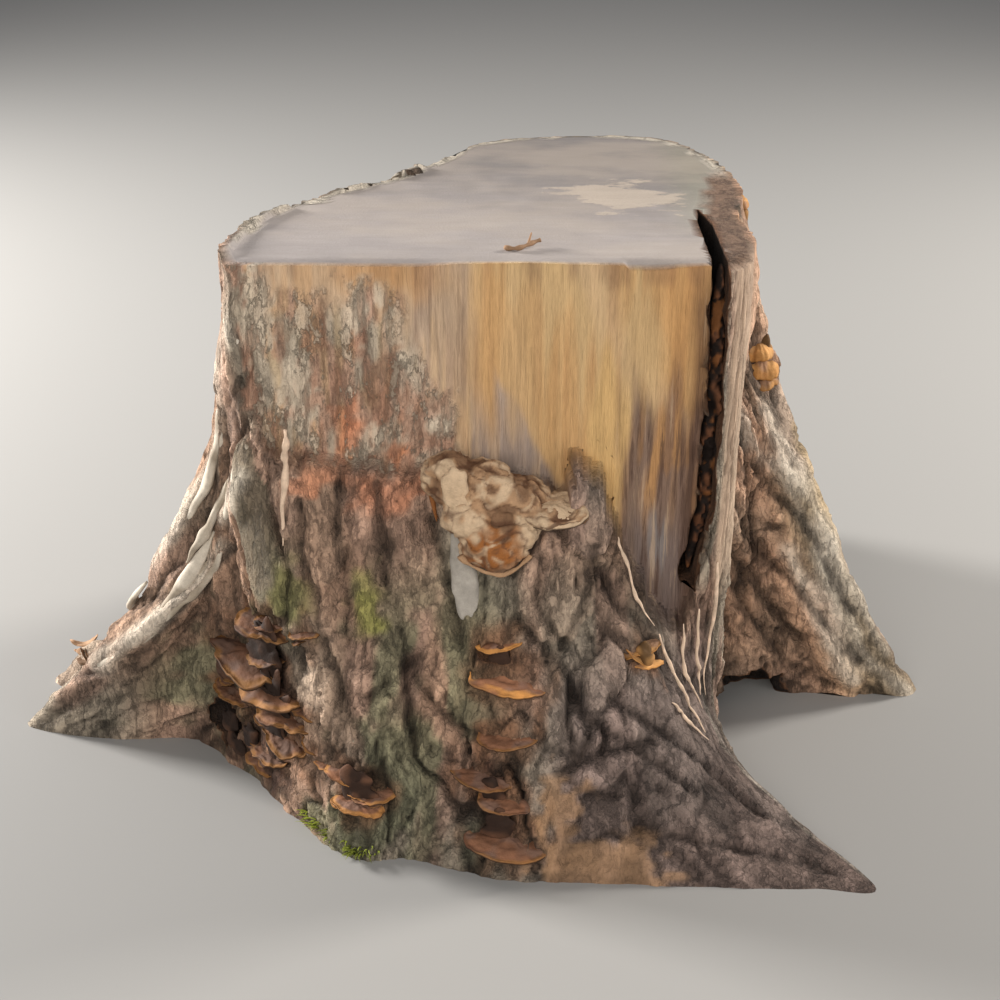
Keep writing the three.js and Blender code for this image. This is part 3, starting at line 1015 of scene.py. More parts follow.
def bark_relief(side, sizes):
    """Height of the bark in millimetres, how deep in a crevice a point is, and how pale its scale is."""
    drift = 26 * side.noise(3, 110, 150) + 12 * side.noise(4, 34, 50) + 4 * side.noise(7, 13, 18)
    seam = np.abs(side.noise(12, 46, 170, drift) + 0.35 * side.noise(13, 16, 44, drift))
    furrow = (1 - step(0.0, 0.15, seam)) * step(-0.3, 0.35, side.noise(20, 50, 70))
    vein = np.abs(side.noise(14, 19, 60, drift) + 0.3 * side.noise(15, 8, 20, drift))
    fissure = 1 - step(0.0, 0.17, vein)
    gap, lift = side.scales(21, 30, 95, drift + 5 * side.noise(5, 13, 18))
    crack = 1 - step(0.0, 0.15, gap)
    gnarl, bump = side.scales(31, 12, 38, drift + 4 * side.noise(8, 9, 11))
    chip = 1 - step(0.0, 0.18, gnarl)
    height = sizes.lump / MM * side.noise(6, 130, 170) - sizes.furrow / MM * furrow
    height = height - sizes.scale / MM * fissure - 2.8 * crack + 5.5 * (lift - 0.5) * (1 - crack)
    height = height - 1.4 * chip + 2.6 * (bump - 0.5) * (1 - chip)
    height = height + 2.8 * side.noise(16, 24, 64) + 1.6 * side.noise(17, 9, 16)
    height = height + 0.8 * side.noise(18, 5, 7)
    roots = np.maximum(band(9.0, 15.0, 0.6, side.station), step(24.6, 25.4, side.station))
    roots = np.maximum(roots, 1 - step(3.0, 4.0, side.station))
    crest = 1 - 2.6 * np.abs(side.noise(19, 50, 460, 0.6 * drift))
    height = height + 11 * roots * np.clip(crest, -0.6, 1) * (1 - step(380, 480, side.height))
    smooth = np.maximum(band(10.2, 14.9, 0.4, side.station), 0.9 * band(20.5, 23.6, 0.3, side.station))
    dry = band(15.8, 18.9, 0.4, side.station) * step(130, 220, side.height)
    height = height * (1 - 0.45 * np.maximum(smooth, 1.2 * dry))
    deep = 0.7 * furrow + 0.45 * fissure + 0.3 * crack + 0.2 * chip + 0.3 * roots * step(0.4, 1, -crest)
    toe = band(20.4, 23.2, 0.3, side.station) * (1 - step(120, 200, side.height))
    lengthwise = 0.82 * side.place[..., 0] - 0.57 * side.height
    sideways = 0.57 * side.place[..., 0] + 0.82 * side.height + drift / 3
    ridges = soft(67, (lengthwise / 64, sideways / 12)) + 0.4 * soft(68, (lengthwise / 30, sideways / 5))
    height = mix(height, 0.5 * height + 3.6 * ridges, toe)
    deep = mix(deep, 0.4 * deep + 0.5 * step(0.2, 0.55, -ridges), toe)
    pale = 0.24 * (lift - 0.5) * (1 - crack) + 0.4 * (bump - 0.5) * (1 - chip)
    return height, np.clip(deep, 0, 1) * (1 - 0.5 * dry), pale * (1 - 0.3 * dry)


def bark_colours(side, hue, relief, pale):
    """Colour of the bark before crevices darken it."""
    station, height = side.station, side.height
    right = np.maximum(step(24.2, 25.2, station), 1 - step(2.2, 3.4, station))
    front = band(15.3, 24.0, 0.5, station)
    shade = mix(hue["bark_brown"], hue["bark_grey"], step(-0.3, 0.3, side.noise(41, 90, 150)))
    shade = mix(shade, hue["bark_pink"], 0.75 * step(-0.05, 0.4, side.noise(42, 38, 80)))
    olive = band(15.2, 18.9, 0.5, station) * (1 - step(170, 290, height))
    olive = np.maximum(olive, band(13.2, 15.2, 0.5, station) * (1 - step(160, 330, height)))
    olive = olive * step(-0.25, 0.35, side.noise(43, 34, 80) + 0.5 * side.noise(47, 12, 20))
    shade = mix(shade, hue["bark_olive"], 0.8 * olive)
    mauve = band(19.5, 23.4, 0.35, station) * (1 - step(130, 200, height))
    shade = mix(shade, hue["bark_mauve"], 0.85 * mauve)
    warm = right * step(-0.8, 0.0, side.noise(48, 60, 120))
    shade = mix(shade, hue["bark_warm"], 0.9 * warm)
    outer = band(0.42, 3.0, 0.3, station) * (1 - step(330, 420, height))
    ashen = mix(hue["crest"] * 0.8, hue["bark_olive"], step(-0.2, 0.4, side.noise(49, 30, 60)))
    shade = mix(shade, ashen, 0.6 * outer)
    film = band(2.6, 9.0, 0.6, station) * step(0.05, 0.45, side.noise(44, 48, 70))
    shade = mix(shade, hue["bark_olive"], 0.5 * film)
    # The front is darker towards the ground.
    shade = shade * (1 - 0.26 * front * (1 - step(20, 230, height)))[..., None]
    # The back turns to darker grey bark, partly its colour and partly painted shade.
    back = band(2.8, 10.0, 0.8, station)
    shade = mix(shade, hue["bark_grey"] * 0.72, 0.55 * back)
    mottle = 1 + pale + 0.14 * side.noise(45, 28, 40) + 0.1 * side.noise(46, 10, 14)
    # Raised bark is painted lighter and sunken bark darker: painted light and shade.
    return shade * (mottle + 0.13 * np.clip(relief / 8, -1, 1))[..., None]


def spot(across, up, centre_across, centre_up, half_across, half_up):
    """Distance from a spot on a flat face, 1 on the rim of the oval."""
    return np.hypot((across - centre_across) / half_across, (up - centre_up) / half_up)


def face_noise(across, up):
    """Noise that the zones of the sawn front share: grit, thin grain, patches, blots and specks."""
    return (
        soft(51, (across / 10, up / 70)),
        soft(56, (across / 4.5, up / 130)),
        soft(52, (across / 22, up / 34)),
        soft(54, (across / 8, up / 32)),
        soft(53, (across / 4.5, up / 8)),
    )


def bare_wood(across, up, hue, noise):
    """Colour of the sawn wood by its zones, and how streaky it is."""
    grit, thin, patchy, _, _ = noise
    wide = soft(59, (across / 26, up / 190))
    golden = step(-100, 10, across + 0.2 * (up - 400) + 26 * wide + 10 * grit)
    shade = mix(hue["beige"], hue["golden"], golden)
    shade = mix(shade, hue["amber"], 0.8 * step(90, 160, across + 22 * wide + 12 * grit))
    shade = mix(shade, hue["amber"], 0.38 * step(0.1, 0.7, wide + 0.5 * thin))
    shade = mix(shade, hue["streak"], 0.26 * step(0.2, 0.7, thin + 0.4 * grit))
    drift = soft(66, ((across + 0.3 * up) / 34, up / 150))
    shade = mix(shade, hue["beige"], 0.4 * golden * step(0.05, 0.5, drift))
    shade = mix(shade, hue["amber"], 0.35 * golden * step(0.1, 0.5, 0.3 * grit - drift))
    bright = 1 - step(0.4, 1.15, spot(across, up, 74, 350, 22, 90) + 0.3 * grit)
    shade = mix(shade, hue["golden"] * (1.12, 1.06, 0.9), bright)
    dull = band(-104, -40, 14, across + 10 * grit) * step(300, 400, up + 20 * patchy)
    shade = mix(shade, hue["violet"], 0.45 * dull * step(-0.35, 0.3, thin + 0.5 * grit))
    rind = step(484, 502, up + 8 * grit + 5 * thin)
    shade = mix(shade, hue["streak"], 0.4 * rind * step(-0.3, 0.4, grit))
    sunny = band(-165, -70, 18, across + 8 * grit) * step(466, 490, up + 8 * grit + 6 * thin)
    shade = mix(shade, hue["amber"], 0.55 * sunny)
    wedge = np.minimum(across + 46, (404 - up) * 0.5 - 19 - across)
    violet = step(-4, 6, wedge + 5 * grit + 2 * thin) * (1 - step(350, 430, up + 40 * grit + 20 * thin))
    shade = mix(shade, hue["violet"] * (0.8 + 0.2 * step(290, 400, up))[..., None], 0.92 * violet)
    shade = mix(shade, hue["beige"], 0.6 * violet * step(0.15, 0.5, thin + 0.6 * grit))
    frayed = up - 46 * grit - 22 * thin
    streaky = step(76, 96, across + 12 * grit) * (1 - step(330, 404, frayed))
    shade = mix(shade, hue["streak"], 0.78 * streaky)
    shade = mix(shade, hue["amber"], 0.6 * streaky * step(0.15, 0.5, soft(60, (across / 6, up / 70))))
    dark = streaky * step(0.0, 0.24, soft(58, (across / 6, up / 90)) + 0.3 * thin)
    shade = mix(shade, hue["slate"], 0.55 * dark)
    low = step(76, 106, across) * (1 - step(226, 300, up + 26 * grit))
    shade = mix(shade, hue["slate"], 0.8 * low)
    ashen = 1 - step(0.5, 1.1, spot(across, up, 122, 244, 9, 30) + 0.7 * grit + 0.5 * thin)
    shade = mix(shade, hue["sawn_top"], 0.7 * ashen)
    edge = step(132, 152, across + 5 * grit) * (1 - step(450, 520, up))
    shade = mix(shade, hue["streak"] * 0.7, 0.7 * edge)
    return shade, np.maximum(streaky, 0.3 * violet + 0.35 * dull + 0.5 * edge)


def inner_bark(across, up, hue, noise):
    """Colour of the inner bark left on the sawn front, where it covers the wood and how thick it is."""
    grit, thin, patchy, blot, speck = noise
    slant = across + 0.36 * (up - 478)
    left = 1 - step(-122, -100, slant + 10 * patchy + 5 * grit)
    cover = left * (1 - step(450, 492, up + 16 * patchy + 9 * speck - 0.18 * (across + 190)))
    cover = np.maximum(cover, 1 - step(-226, -206, across + 8 * blot))
    remains = mix(hue["inner"], hue["bark_grey"] * 1.3, step(0.0, 0.3, patchy + 0.5 * blot))
    remains = mix(remains, hue["golden"], 0.4 * step(0.15, 0.4, soft(63, (across / 6, up / 44))))
    brown = step(0.1, 0.4, soft(64, (across / 7, up / 40)))
    remains = mix(remains, hue["inner"] * (0.8, 0.66, 0.6), 0.6 * brown)
    pale = spot(slant, up, -116, 412, 11, 78)
    for oval in PALE_FLAKES:
        pale = np.minimum(pale, spot(across, up, *oval))
    white = 1 - step(0.6, 1.05, pale + 0.55 * speck + 0.4 * blot)
    remains = mix(remains, hue["pale"], 0.85 * white)
    torn = np.minimum(spot(across, up, -152, 354, 17, 36), spot(across, up, -84, 334, 46, 13))
    torn = 1 - step(0.5, 1.1, torn + 0.5 * blot + 0.3 * speck)
    remains = mix(remains, hue["torn"], 0.7 * torn)
    remains = remains * (1 + 0.12 * speck + 0.14 * thin)[..., None]
    thick = cover * (0.25 + 0.75 * step(-0.1, 0.25, patchy + 0.5 * blot + 0.3 * speck))
    return remains, cover, thick


def sawn_zones(across, up, hue):
    """Colour of the sawn front, where inner bark covers it and how thickly, and how streaky it is."""
    noise = face_noise(across, up)
    shade, streaky = bare_wood(across, up, hue, noise)
    remains, cover, thick = inner_bark(across, up, hue, noise)
    shade = mix(shade, remains, cover)
    _, _, patchy, blot, speck = noise
    lumpy = soft(65, (across / 11, up / 15))
    ragged = 0.45 * blot + 0.3 * speck + 0.3 * patchy
    knobs = 1 - step(0.6, 1.0, spot(across, up, *KNOBS) + ragged)
    grown = mix(hue["inner"], hue["pale"], step(-0.3, 0.5, lumpy + 0.4 * speck))
    shade = mix(shade, grown, 0.85 * knobs)
    thick = np.maximum(thick, knobs * (1.1 + 1.1 * lumpy))
    return shade, np.maximum(cover, knobs), thick, streaky * (1 - cover)


def top_zones(places, hue):
    """Colour of the sawn top, and where the ring of bark lies on it."""
    across, back = places[..., 0], places[..., 1]
    rim = closed_curve(0, 2, np.arange(260) / 260)
    inset = inside((across, back), rim)
    blot = soft(62, (across / 17, back / 17))
    dark_side = step(150, 168, across) * (1 - step(70, 120, back))
    ring = mix(hue["crest"], hue["bark_brown"] * 0.5, dark_side)
    thick = 9 + 7 * blot + 18 * dark_side
    bark = 1 - step(thick - 3, thick + 3, inset)
    sawn_off = band(-225, 152, 8, across) * (1 - step(FACE_Y + 6, FACE_Y + 30, back))
    bark = bark * (1 - sawn_off)
    greenish = step(120, 170, across) * step(-140, -40, back)
    shade = mix(hue["sawn_top"], hue["bark_olive"] * 1.3, 0.3 * greenish)
    # Painted light and shade: the top is lighter at the front and darker towards the back.
    back_shade = step(-150, 210, back + 30 * blot + 0.25 * across)
    shade = shade * mix(1.34, 0.66, back_shade)[..., None]
    return mix(shade, ring, bark), bark


def cutter(places, shade):
    """An object with a coloured lining that is cut out of the trunk."""
    layers = {name: np.zeros(places.shape[:2]) for name in ("grain", "sawn", "flaky", "streaky")}
    return placed("cutter", joined([wrapped(places, {"tint": shade, **layers})]))


def crack_shift(up):
    """How far the crack leans to the left at a height."""
    return CRACK_LEAN * (1 - step(CRACK_BOTTOM, CRACK_UPRIGHT, up))


def crack_places():
    """Rows of points on the crack's walls, with ragged sides, closed at both ends."""
    count, rows = 90, 70
    corners = np.array(CRACK + CRACK[:1], float)
    gaps = np.hypot(*np.diff(corners, axis=0).T)
    lengths = np.concatenate(((0,), np.cumsum(gaps)))
    goals = np.arange(count) / count * lengths[-1]
    ring = np.stack([np.interp(goals, lengths, corners[:, axis]) for axis in (0, 1)], -1)
    heights = np.linspace(CRACK_BOTTOM, HEIGHT + 30, rows)
    up, turn = np.meshgrid(heights, np.arange(count), indexing="ij")
    places = np.dstack((ring[turn, 0], ring[turn, 1], up))
    back = places[..., 1]
    ragged = 2.4 * soft(71, (back / 13, up / 22)) + 1.4 * soft(72, (back / 5, up / 8))
    ragged = ragged * (1 - 0.8 * step(470, HEIGHT, up))
    places[..., 0] += ragged - crack_shift(up)
    across, back = ring.mean(axis=0)
    ends = np.array([(across - crack_shift(end), back, end) for end in heights[[0, -1]]])
    return capped(ends, places)


def hollow_places(x, y, z, half_x, half_y, half_z):
    """Rows of points on the ragged wall of a hollow."""
    hole = ball((half_x, half_y, half_z), (0, 0, 0), 48, 30)
    rough = 1 + 0.26 * soft(73, in_cells(hole, 12)) + 0.12 * soft(75, in_cells(hole, 5))
    return hole * rough[..., None] + np.array((x, y, z))


def carved(trunk, holes, hue):
    """The trunk's mesh with the crack and the hollows cut out of it."""
    tools = []
    for hole in holes:
        # Past the mouth, the inside of the crack and hollows is painted in the crevice colour as shade.
        mouth = 1 - step(-186, -128, hole[..., 1] + 9 * soft(74, in_cells(hole, 9)))
        tools.append(cutter(hole, mix(hue["crevice"], hue["lining"], mouth)))
        cut = trunk.modifiers.new("cut", "BOOLEAN")
        cut.operation = "DIFFERENCE"
        cut.solver = "MANIFOLD"
        cut.object = tools[-1]
    mesh = baked(trunk)
    for tool in tools:
        discarded(tool)
    # Points that are left white by the cut get the colour of the lining.
    layer = mesh.attributes["tint"]
    values = np.zeros(len(mesh.vertices) * 4, np.float32)
    layer.data.foreach_get("color", values)
    values = values.reshape(-1, 4)
    values[values[:, :3].min(axis=1) > 0.99] = (*hue["lining"], 1.0)
    layer.data.foreach_set("color", values.ravel())
    mesh.set_sharp_from_angle(angle=SHARP)
    return mesh


class Bark:
    """Relief, colour and depth in a crevice of every point of the bark."""

    def __init__(self, side, sizes, hue):
        self.side = side
        self.hue = hue
        self.relief, self.deep, pale = bark_relief(side, sizes)
        self.shade = bark_colours(side, hue, self.relief, pale)

    def plate(self, station, height, half_wide, half_tall, lean, lift, flat, name):
        """Raises an oval plate with a narrow gap round it."""
        gap = self.side.patch(station, height, half_wide, half_tall, lean)
        gap = gap + 0.16 * self.side.noise(81, 15, 24) + 0.06 * self.side.noise(85, 6, 8)
        cover = 1 - step(0.9, 1.0, gap)
        dome = lift * np.sqrt(np.clip(1.1 - gap ** 5, 0, 1))
        self.relief = mix(self.relief, self.relief * (1 - flat) + dome, cover)
        tone = self.hue[name] * (1 + 0.14 * self.side.noise(82, 16, 30))[..., None]
        self.shade = mix(self.shade, tone, 0.85 * flat * cover)
        rim = band(1.0, 1.12, 0.06, gap) * flat
        self.relief = self.relief - 3 * rim
        self.deep = np.maximum(self.deep * (1 - flat * cover), 0.5 * rim)

    def furrow(self, points):
        """Cuts a crevice along a line."""
        gap = gap_to(self.side.place, along_bark(points)) + 2.6 * self.side.noise(95, 9, 12)
        self.relief = self.relief - 6 * (1 - step(0, 8, gap))
        self.deep = np.maximum(self.deep, 0.8 * (1 - step(0.5, 5.5, gap)))

    def crest(self, points):
        """Raises a pale crest along a line."""
        sway = 6 * self.side.noise(96, 22, 40) + 2.4 * self.side.noise(94, 9, 14)
        gap = np.abs(gap_to(self.side.place, along_bark(points)) + sway)
        swell = np.clip(1 - gap / 25, 0, 1)
        self.relief = self.relief * (1 - 0.45 * swell) + 9 * swell
        self.shade = mix(self.shade, self.hue["crest"], 0.6 * (1 - step(0, 15, gap)))
        self.deep = self.deep * (1 - 0.7 * swell)

    def film(self, name, share, cover):
        """Colours what a thin growth or a painted shade covers, less so in crevices."""
        self.shade = mix(self.shade, self.hue[name], share * cover * (1 - 0.6 * self.deep))

    def wear_and_relief_shade(self, name, share, cover, calm, sink):
        """Colours bare wood and smooths it."""
        tone = self.hue[name] * (1 + 0.22 * self.side.noise(86, 12, 16))[..., None]
        self.shade = mix(self.shade, tone, share * cover)
        self.relief = mix(self.relief, self.relief * calm - sink, cover)
        self.deep = self.deep * (1 - 0.6 * cover)

    def raised(self):
        """How far each point stands above its surroundings, in millimetres."""
        around = self.relief
        for reach in (1, 2, 4, 6):
            around = (around + np.roll(around, reach, 1) + np.roll(around, -reach, 1)) / 3
            over = np.concatenate((around[reach:], np.repeat(around[-1:], reach, axis=0)))
            under = np.concatenate((np.repeat(around[:1], reach, axis=0), around[:-reach]))
            around = (around + over + under) / 3
        return self.relief - around

    def darkened(self):
        """Colour with painted shade in the crevices and hollows, and painted highlight on raised edges.
        """
        dark = self.deep[..., None]
        # Bark standing above its surroundings is painted lighter and hollows darker, and crevices take
        # painted shade.
        wear_and_relief_shade = np.clip(1 + 0.075 * self.raised(), 0.6, 1.35)[..., None]
        return self.shade * wear_and_relief_shade * (1 - 0.74 * dark) + self.hue["crevice"] * 0.55 * dark


def weathered(side, sizes, hue):
    """The bark with its plates, crests, furrows and films, and where wood shows through it."""
    bark = Bark(side, sizes, hue)
    for plate in BARK_PLATES:
        bark.plate(*plate)
    for points in CRESTS:
        bark.crest(points)
    for points in FURROWS:
        bark.furrow(points)
    for shelves, _ in BUNCHES.values():
        for station, height, radius, _ in shelves:
            reach = 1.3 * radius
            stain = side.patch(station, height, reach, reach) + 0.5 * side.noise(97, 12, 16)
            bark.film("stain", 0.6, 1 - step(0.5, 1.1, stain))
    # Painted shade in the hollows among and under the brackets.
    for patch in SHADOW_PATCHES:
        wet = side.patch(*patch) + 0.6 * side.noise(100, 9, 12)
        bark.film("wet", 0.85, 1 - step(0.6, 1.1, wet))
    for *patch, seed, share, low, high in MOSS_FILMS:
        moss = side.patch(*patch) + 0.5 * side.noise(seed, 11, 15)
        bark.film("moss", share, 1 - step(low, high, moss))
    bare = np.minimum(*(side.patch(*patch) for patch in BARE_PATCHES))
    bare = bare + 0.4 * side.noise(84, 22, 22) + 0.5 * side.noise(88, 9, 9)
    bare = 1 - step(0.72, 1.06, bare)
    bark.wear_and_relief_shade("rot", 0.75, bare, 0.75, -2)
    plank = band(23.25, 24.6, 0.12, side.station) * step(175, 235, side.height)
    bark.wear_and_relief_shade("plank", 0.85, plank, 0.3, 0)
    edge = band(22.97, 23.13, 0.05, side.station) * (1 - step(70, 130, side.height))
    bark.film("crest", 0.6, edge)
    return bark, np.maximum(0.8 * plank, 0.6 * bare)


def raised_side(side, relief):
    """The side with its relief, how far the sawn rim sags and how far the torn rim stands up."""
    torn_rim = band(6.4, 14.3, 0.3, side.station)
    calm = 1 - 0.55 * step(460, HEIGHT, side.height) * (1 - torn_rim)
    calm = calm * (0.45 + 0.55 * step(0, 26, side.height))
    place = side.place + side.normal * (relief * calm)[..., None]
    place[..., 2] = np.where(side.height > 0, np.maximum(place[..., 2], 0.2), 0)
    place[-1, :, 2] = HEIGHT
    place[..., 2] = np.minimum(place[..., 2], HEIGHT)
    across = place[-1, :, 0]
    front = band(13.9, 24.0, 0.2, side.station[-1])
    notch = 4 * step(82, 88, across) * (1 - step(104, 150, across))
    sag = front * (2.2 + 2 * soft(94, (across / 46,)) + notch)
    scallop = 5 * torn_rim[-1] * np.clip(0.35 + 1.7 * side.noise(99, 34, 60)[-1], 0, 1)
    place[..., 2] = place[..., 2] + (scallop - sag) * step(470, HEIGHT, side.height)
    return place, sag, scallop


def sawn_front(side, bark, place, flake, hue):
    """Flattens the sawn front. Colour of the side, where it is sawn, covered and streaky."""
    across, up = place[..., 0], side.height
    jag = 6 * soft(91, (across / 15, up / 21)) + 3.4 * soft(92, (across / 6, up / 8))
    border = inside((across, up), SAWN_FACE)
    front = (side.station > SAWN_FROM) & (side.station < SAWN_TO)
    torn_edge = band(-34, 0, 9, border + 1.3 * jag) * band(-205, -60, 14, across) * front
    bark.film("torn", 0.5, torn_edge * step(-0.3, 0.3, side.noise(98, 18, 16)))
    face = step(-2.0, 3.0, border + jag) * front
    tone, cover, thick, streaky = sawn_zones(across, up, hue)
    plane = FACE_Y - thick * flake / MM + 0.5 * soft(93, (across / 3.5, up / 60))
    face = np.where(place[..., 1] > FACE_Y + 14, 0, face)
    place[..., 1] = mix(place[..., 1], plane, face)
    lip = np.clip(1 - np.abs(face - 0.5) * 2, 0, 1)
    shade = mix(bark.darkened(), tone, face) * (1 - 0.4 * lip)[..., None]
    return shade, face, cover, streaky


def sawn_top(side, sag, scallop):
    """Rows of points on the sawn top, from its rim to its middle."""
    rim = side.place[-1, :, :2].copy()
    sawn = (side.station[-1] > SAWN_FROM) & (side.station[-1] < SAWN_TO)
    rim[:, 1] = np.where(sawn, np.maximum(rim[:, 1], FACE_Y), rim[:, 1])
    shrink = 1 - RIM_INSET - (1 - RIM_INSET) * np.linspace(0, 1, TOP_ROWS) ** 1.5
    top = np.full((TOP_ROWS, COLUMNS, 3), HEIGHT)
    top[..., :2] = TOP_CENTRE + (rim - TOP_CENTRE) * shrink[:, None, None]
    top[0, :, 2] = HEIGHT + scallop - 0.45 * sag
    top[1, :, 2] = HEIGHT - 0.1 * sag
    return top


class STUMP_OT_trunk(bpy.types.Operator):
    """Trunk with roots, bark, the sawn top and front, the crack and the hollows"""

    bl_idname = "stump.trunk"
    bl_label = "Trunk"

    def execute(self, context):
        sizes = context.scene.stump_sizes
        hue = palette(context.scene.stump_colours)
        side = Side()
        bark, showing = weathered(side, sizes, hue)
        place, sag, scallop = raised_side(side, bark.relief)
        shade, face, cover, streaky = sawn_front(side, bark, place, sizes.flake, hue)
        top = sawn_top(side, sag, scallop)
        top_shade, ring = top_zones(top, hue)
        bottom = np.zeros((2, COLUMNS, 3))
        bottom[1, :, :2] = TOP_CENTRE + (place[0, :, :2] - TOP_CENTRE) * 0.6
        under = np.zeros((2, COLUMNS))
        plain = np.zeros(ring.shape)
        layers = {
            "tint": np.concatenate((np.broadcast_to(hue["crevice"], bottom.shape), shade, top_shade)),
            "grain": np.concatenate((under, np.maximum(face * (1 - 0.4 * cover), showing), plain)),
            "sawn": np.concatenate((under, np.zeros(face.shape), 1 - ring)),
            "flaky": np.concatenate((under, face * cover, plain)),
            "streaky": np.concatenate((under, face * streaky, plain)),
        }
        trunk = placed("trunk", joined([wrapped(np.concatenate((bottom, place, top)), layers)]))
        holes = [crack_places()] + [hollow_places(*hollow) for hollow in HOLLOWS]
        mesh = carved(trunk, holes, hue)
        dressed("stump_body", mesh, stump_finish(hue), "stump_wood", "stump")
        return {"FINISHED"}


# Fungi.

def shelf_places(radius, dome, seed, ragged):
    """Rows of points on a bracket from its underside to its top, how far out and whether on top."""
    columns, rows = LARGE_GRID if radius > LARGE_RADIUS else SMALL_GRID
    level = np.linspace(0, 1, rows)
    out = np.sin(np.pi * level) ** 0.7
    below = level < 0.5
    under = -0.26 * (1 - out) ** 1.3 - 0.06
    over = mix(0.12 * (1 - out) ** 1.1 + 0.008 * np.sin(out * 26), 0.75 * np.sqrt(1 - out ** 2), dome)
    rise = np.where(below, under, over)
    out, turn = np.meshgrid(out, full_turn(columns), indexing="ij")
    rise = np.broadcast_to(rise[:, None], out.shape)
    phase, ripple = 6 * scatter(seed, np.arange(2))
    ring = (np.cos(turn) * 2.1 + 9, np.sin(turn) * 2.1 + 9)
    fray = (np.cos(turn) * 5.5 + 9, np.sin(turn) * 5.5 + 9)
    swell = 0.05 * np.sin(3 * turn + phase) + 0.12 * soft(seed + 1, ring) + 0.06 * soft(seed + 2, fray)
    swell = 1 + ragged * swell
    wave = 0.05 * np.sin(2 * turn + ripple) + 0.07 * soft(seed + 3, ring) + 0.03 * soft(seed + 4, fray)
    wave = ragged * wave + 0.06 * np.minimum(np.sin(turn), 0)
    flesh = (np.cos(turn) * out * 5 + 9, np.sin(turn) * out * 5 + 9)
    crumb = (np.cos(turn) * out * 15 + 40, np.sin(turn) * out * 15 + 40)
    lump = 0.035 * soft(seed + 5, flesh) + 0.014 * soft(seed + 8, crumb)
    places = np.stack((
        radius * out * swell * np.cos(turn),
        SHELF_DEPTH * radius * out * swell * np.sin(turn),
        radius * (rise + wave * out ** 2 + lump),
    ), -1)
    return places, out, np.broadcast_to(1.0 - below[:, None], out.shape)


def shelf(station, height, radius, tilt, seed, hue, golden, dome, look):
    """One bracket on the bark, coloured in zones from its root to its rim."""
    tone, ripe, ragged = look
    places, out, top = shelf_places(radius, dome, seed, ragged)
    crown = hue["gold"] if golden else hue["rust"]
    tone = tone * (0.8 + 0.4 * scatter(seed + 9, np.arange(1))[0])
    stain = soft(seed + 6, (places[..., 0] / 11, places[..., 1] / 11))
    rings = 0.5 + 0.5 * np.sin(out * 11 + 2 * stain)
    shade = mix(crown * 0.75, crown * 1.12, rings)
    shade = mix(shade, hue["weathered"], 0.7 * step(-0.1, 0.5, stain))
    growing = 0.9 - 0.2 * ripe
    lit = step(growing, growing + 0.12, out)
    lit = lit * step(-0.5, 0.3, soft(seed + 7, (places[..., 0] / 13, places[..., 1] / 13)) + 0.4 * ripe)
    shade = mix(shade, hue["ochre"] * (1 + 0.4 * ripe), (0.5 + 0.4 * ripe) * lit) * tone
    # The underside is painted shade, darkest at the root.
    below = hue["umber"] * (0.25 + 0.7 * out[..., None] ** 6)
    if golden:
        below = mix(hue["ochre"] * 0.5, hue["ochre"], out)
    places = on_bark(tilted(places, tilt), station, height, radius * 0.15)
    return painted(places, mix(below, shade, top))


def frills(shelves, seed):
    """Small broken brackets scattered about the larger ones."""
    spots = []
    for station, height, radius, tilt in shelves * 2:
        seed += 3
        draw = scatter(seed, np.arange(4))
        spots.append((
            station + (draw[0] - 0.5) * radius / 30,
            max(height + (draw[1] - 0.6) * radius, 12),
            radius * (0.3 + 0.25 * draw[2]),
            tilt + 30 * (draw[3] - 0.5),
        ))
    return tuple(spots)


def cushion(station, height, half_wide, half_tall, seed, hue, golden, tone):
    """The knobbly mass that brackets grow from."""
    wide, depth = (0.6, 0.6) if golden else (0.66, 0.34)
    places = ball((wide * half_wide, depth * CUSHION_DEPTH, half_tall), (0, 0, 0), 60, 44)
    knob = soft(seed, in_cells(places, 8))
    fold = soft(seed + 1, (places[..., 0] / 11, places[..., 2] / 6))
    # Rusty cushions are darkened as painted shade under the shelves, and the hollows between knobs darker
    # still.
    skin = hue["gold"] * 0.8 if golden else hue["rust"] * 0.5 * tone
    shade = mix(skin * 0.25, skin, step(-0.1, 0.7, knob + 0.4 * fold))
    places = places * (1 + 0.3 * knob + 0.2 * fold)[..., None]
    return painted(on_bark(places, station, height, 0), shade)


class STUMP_OT_brackets(bpy.types.Operator):
    """Bunches of bracket fungi on the bark"""

    bl_idname = "stump.brackets"
    bl_label = "Brackets"

    def execute(self, context):
        hue = palette(context.scene.fungus_colours)
        finish = skin_finish("bracket_skin", 120.0, 0.35, 0.002)
        seed = 100
        for name, (shelves, cushions) in BUNCHES.items():
            golden = name in GOLDEN_BUNCHES
            dome = DOME if name in DOMED_BUNCHES else 0.0
            look = BUNCH_LOOKS.get(name, PLAIN_LOOK)
            parts = []
            for place in cushions:
                seed += 10
                parts.append(cushion(*place, seed, hue, golden, look[0]))
            small = frills(shelves, seed) if name in FRILLED_BUNCHES else ()
            for place in shelves + small:
                seed += 10
                parts.append(shelf(*place, seed, hue, golden, dome, look))
            dressed("fine_" + name, joined(parts), finish, "bracket_fungus", name)
        return {"FINISHED"}


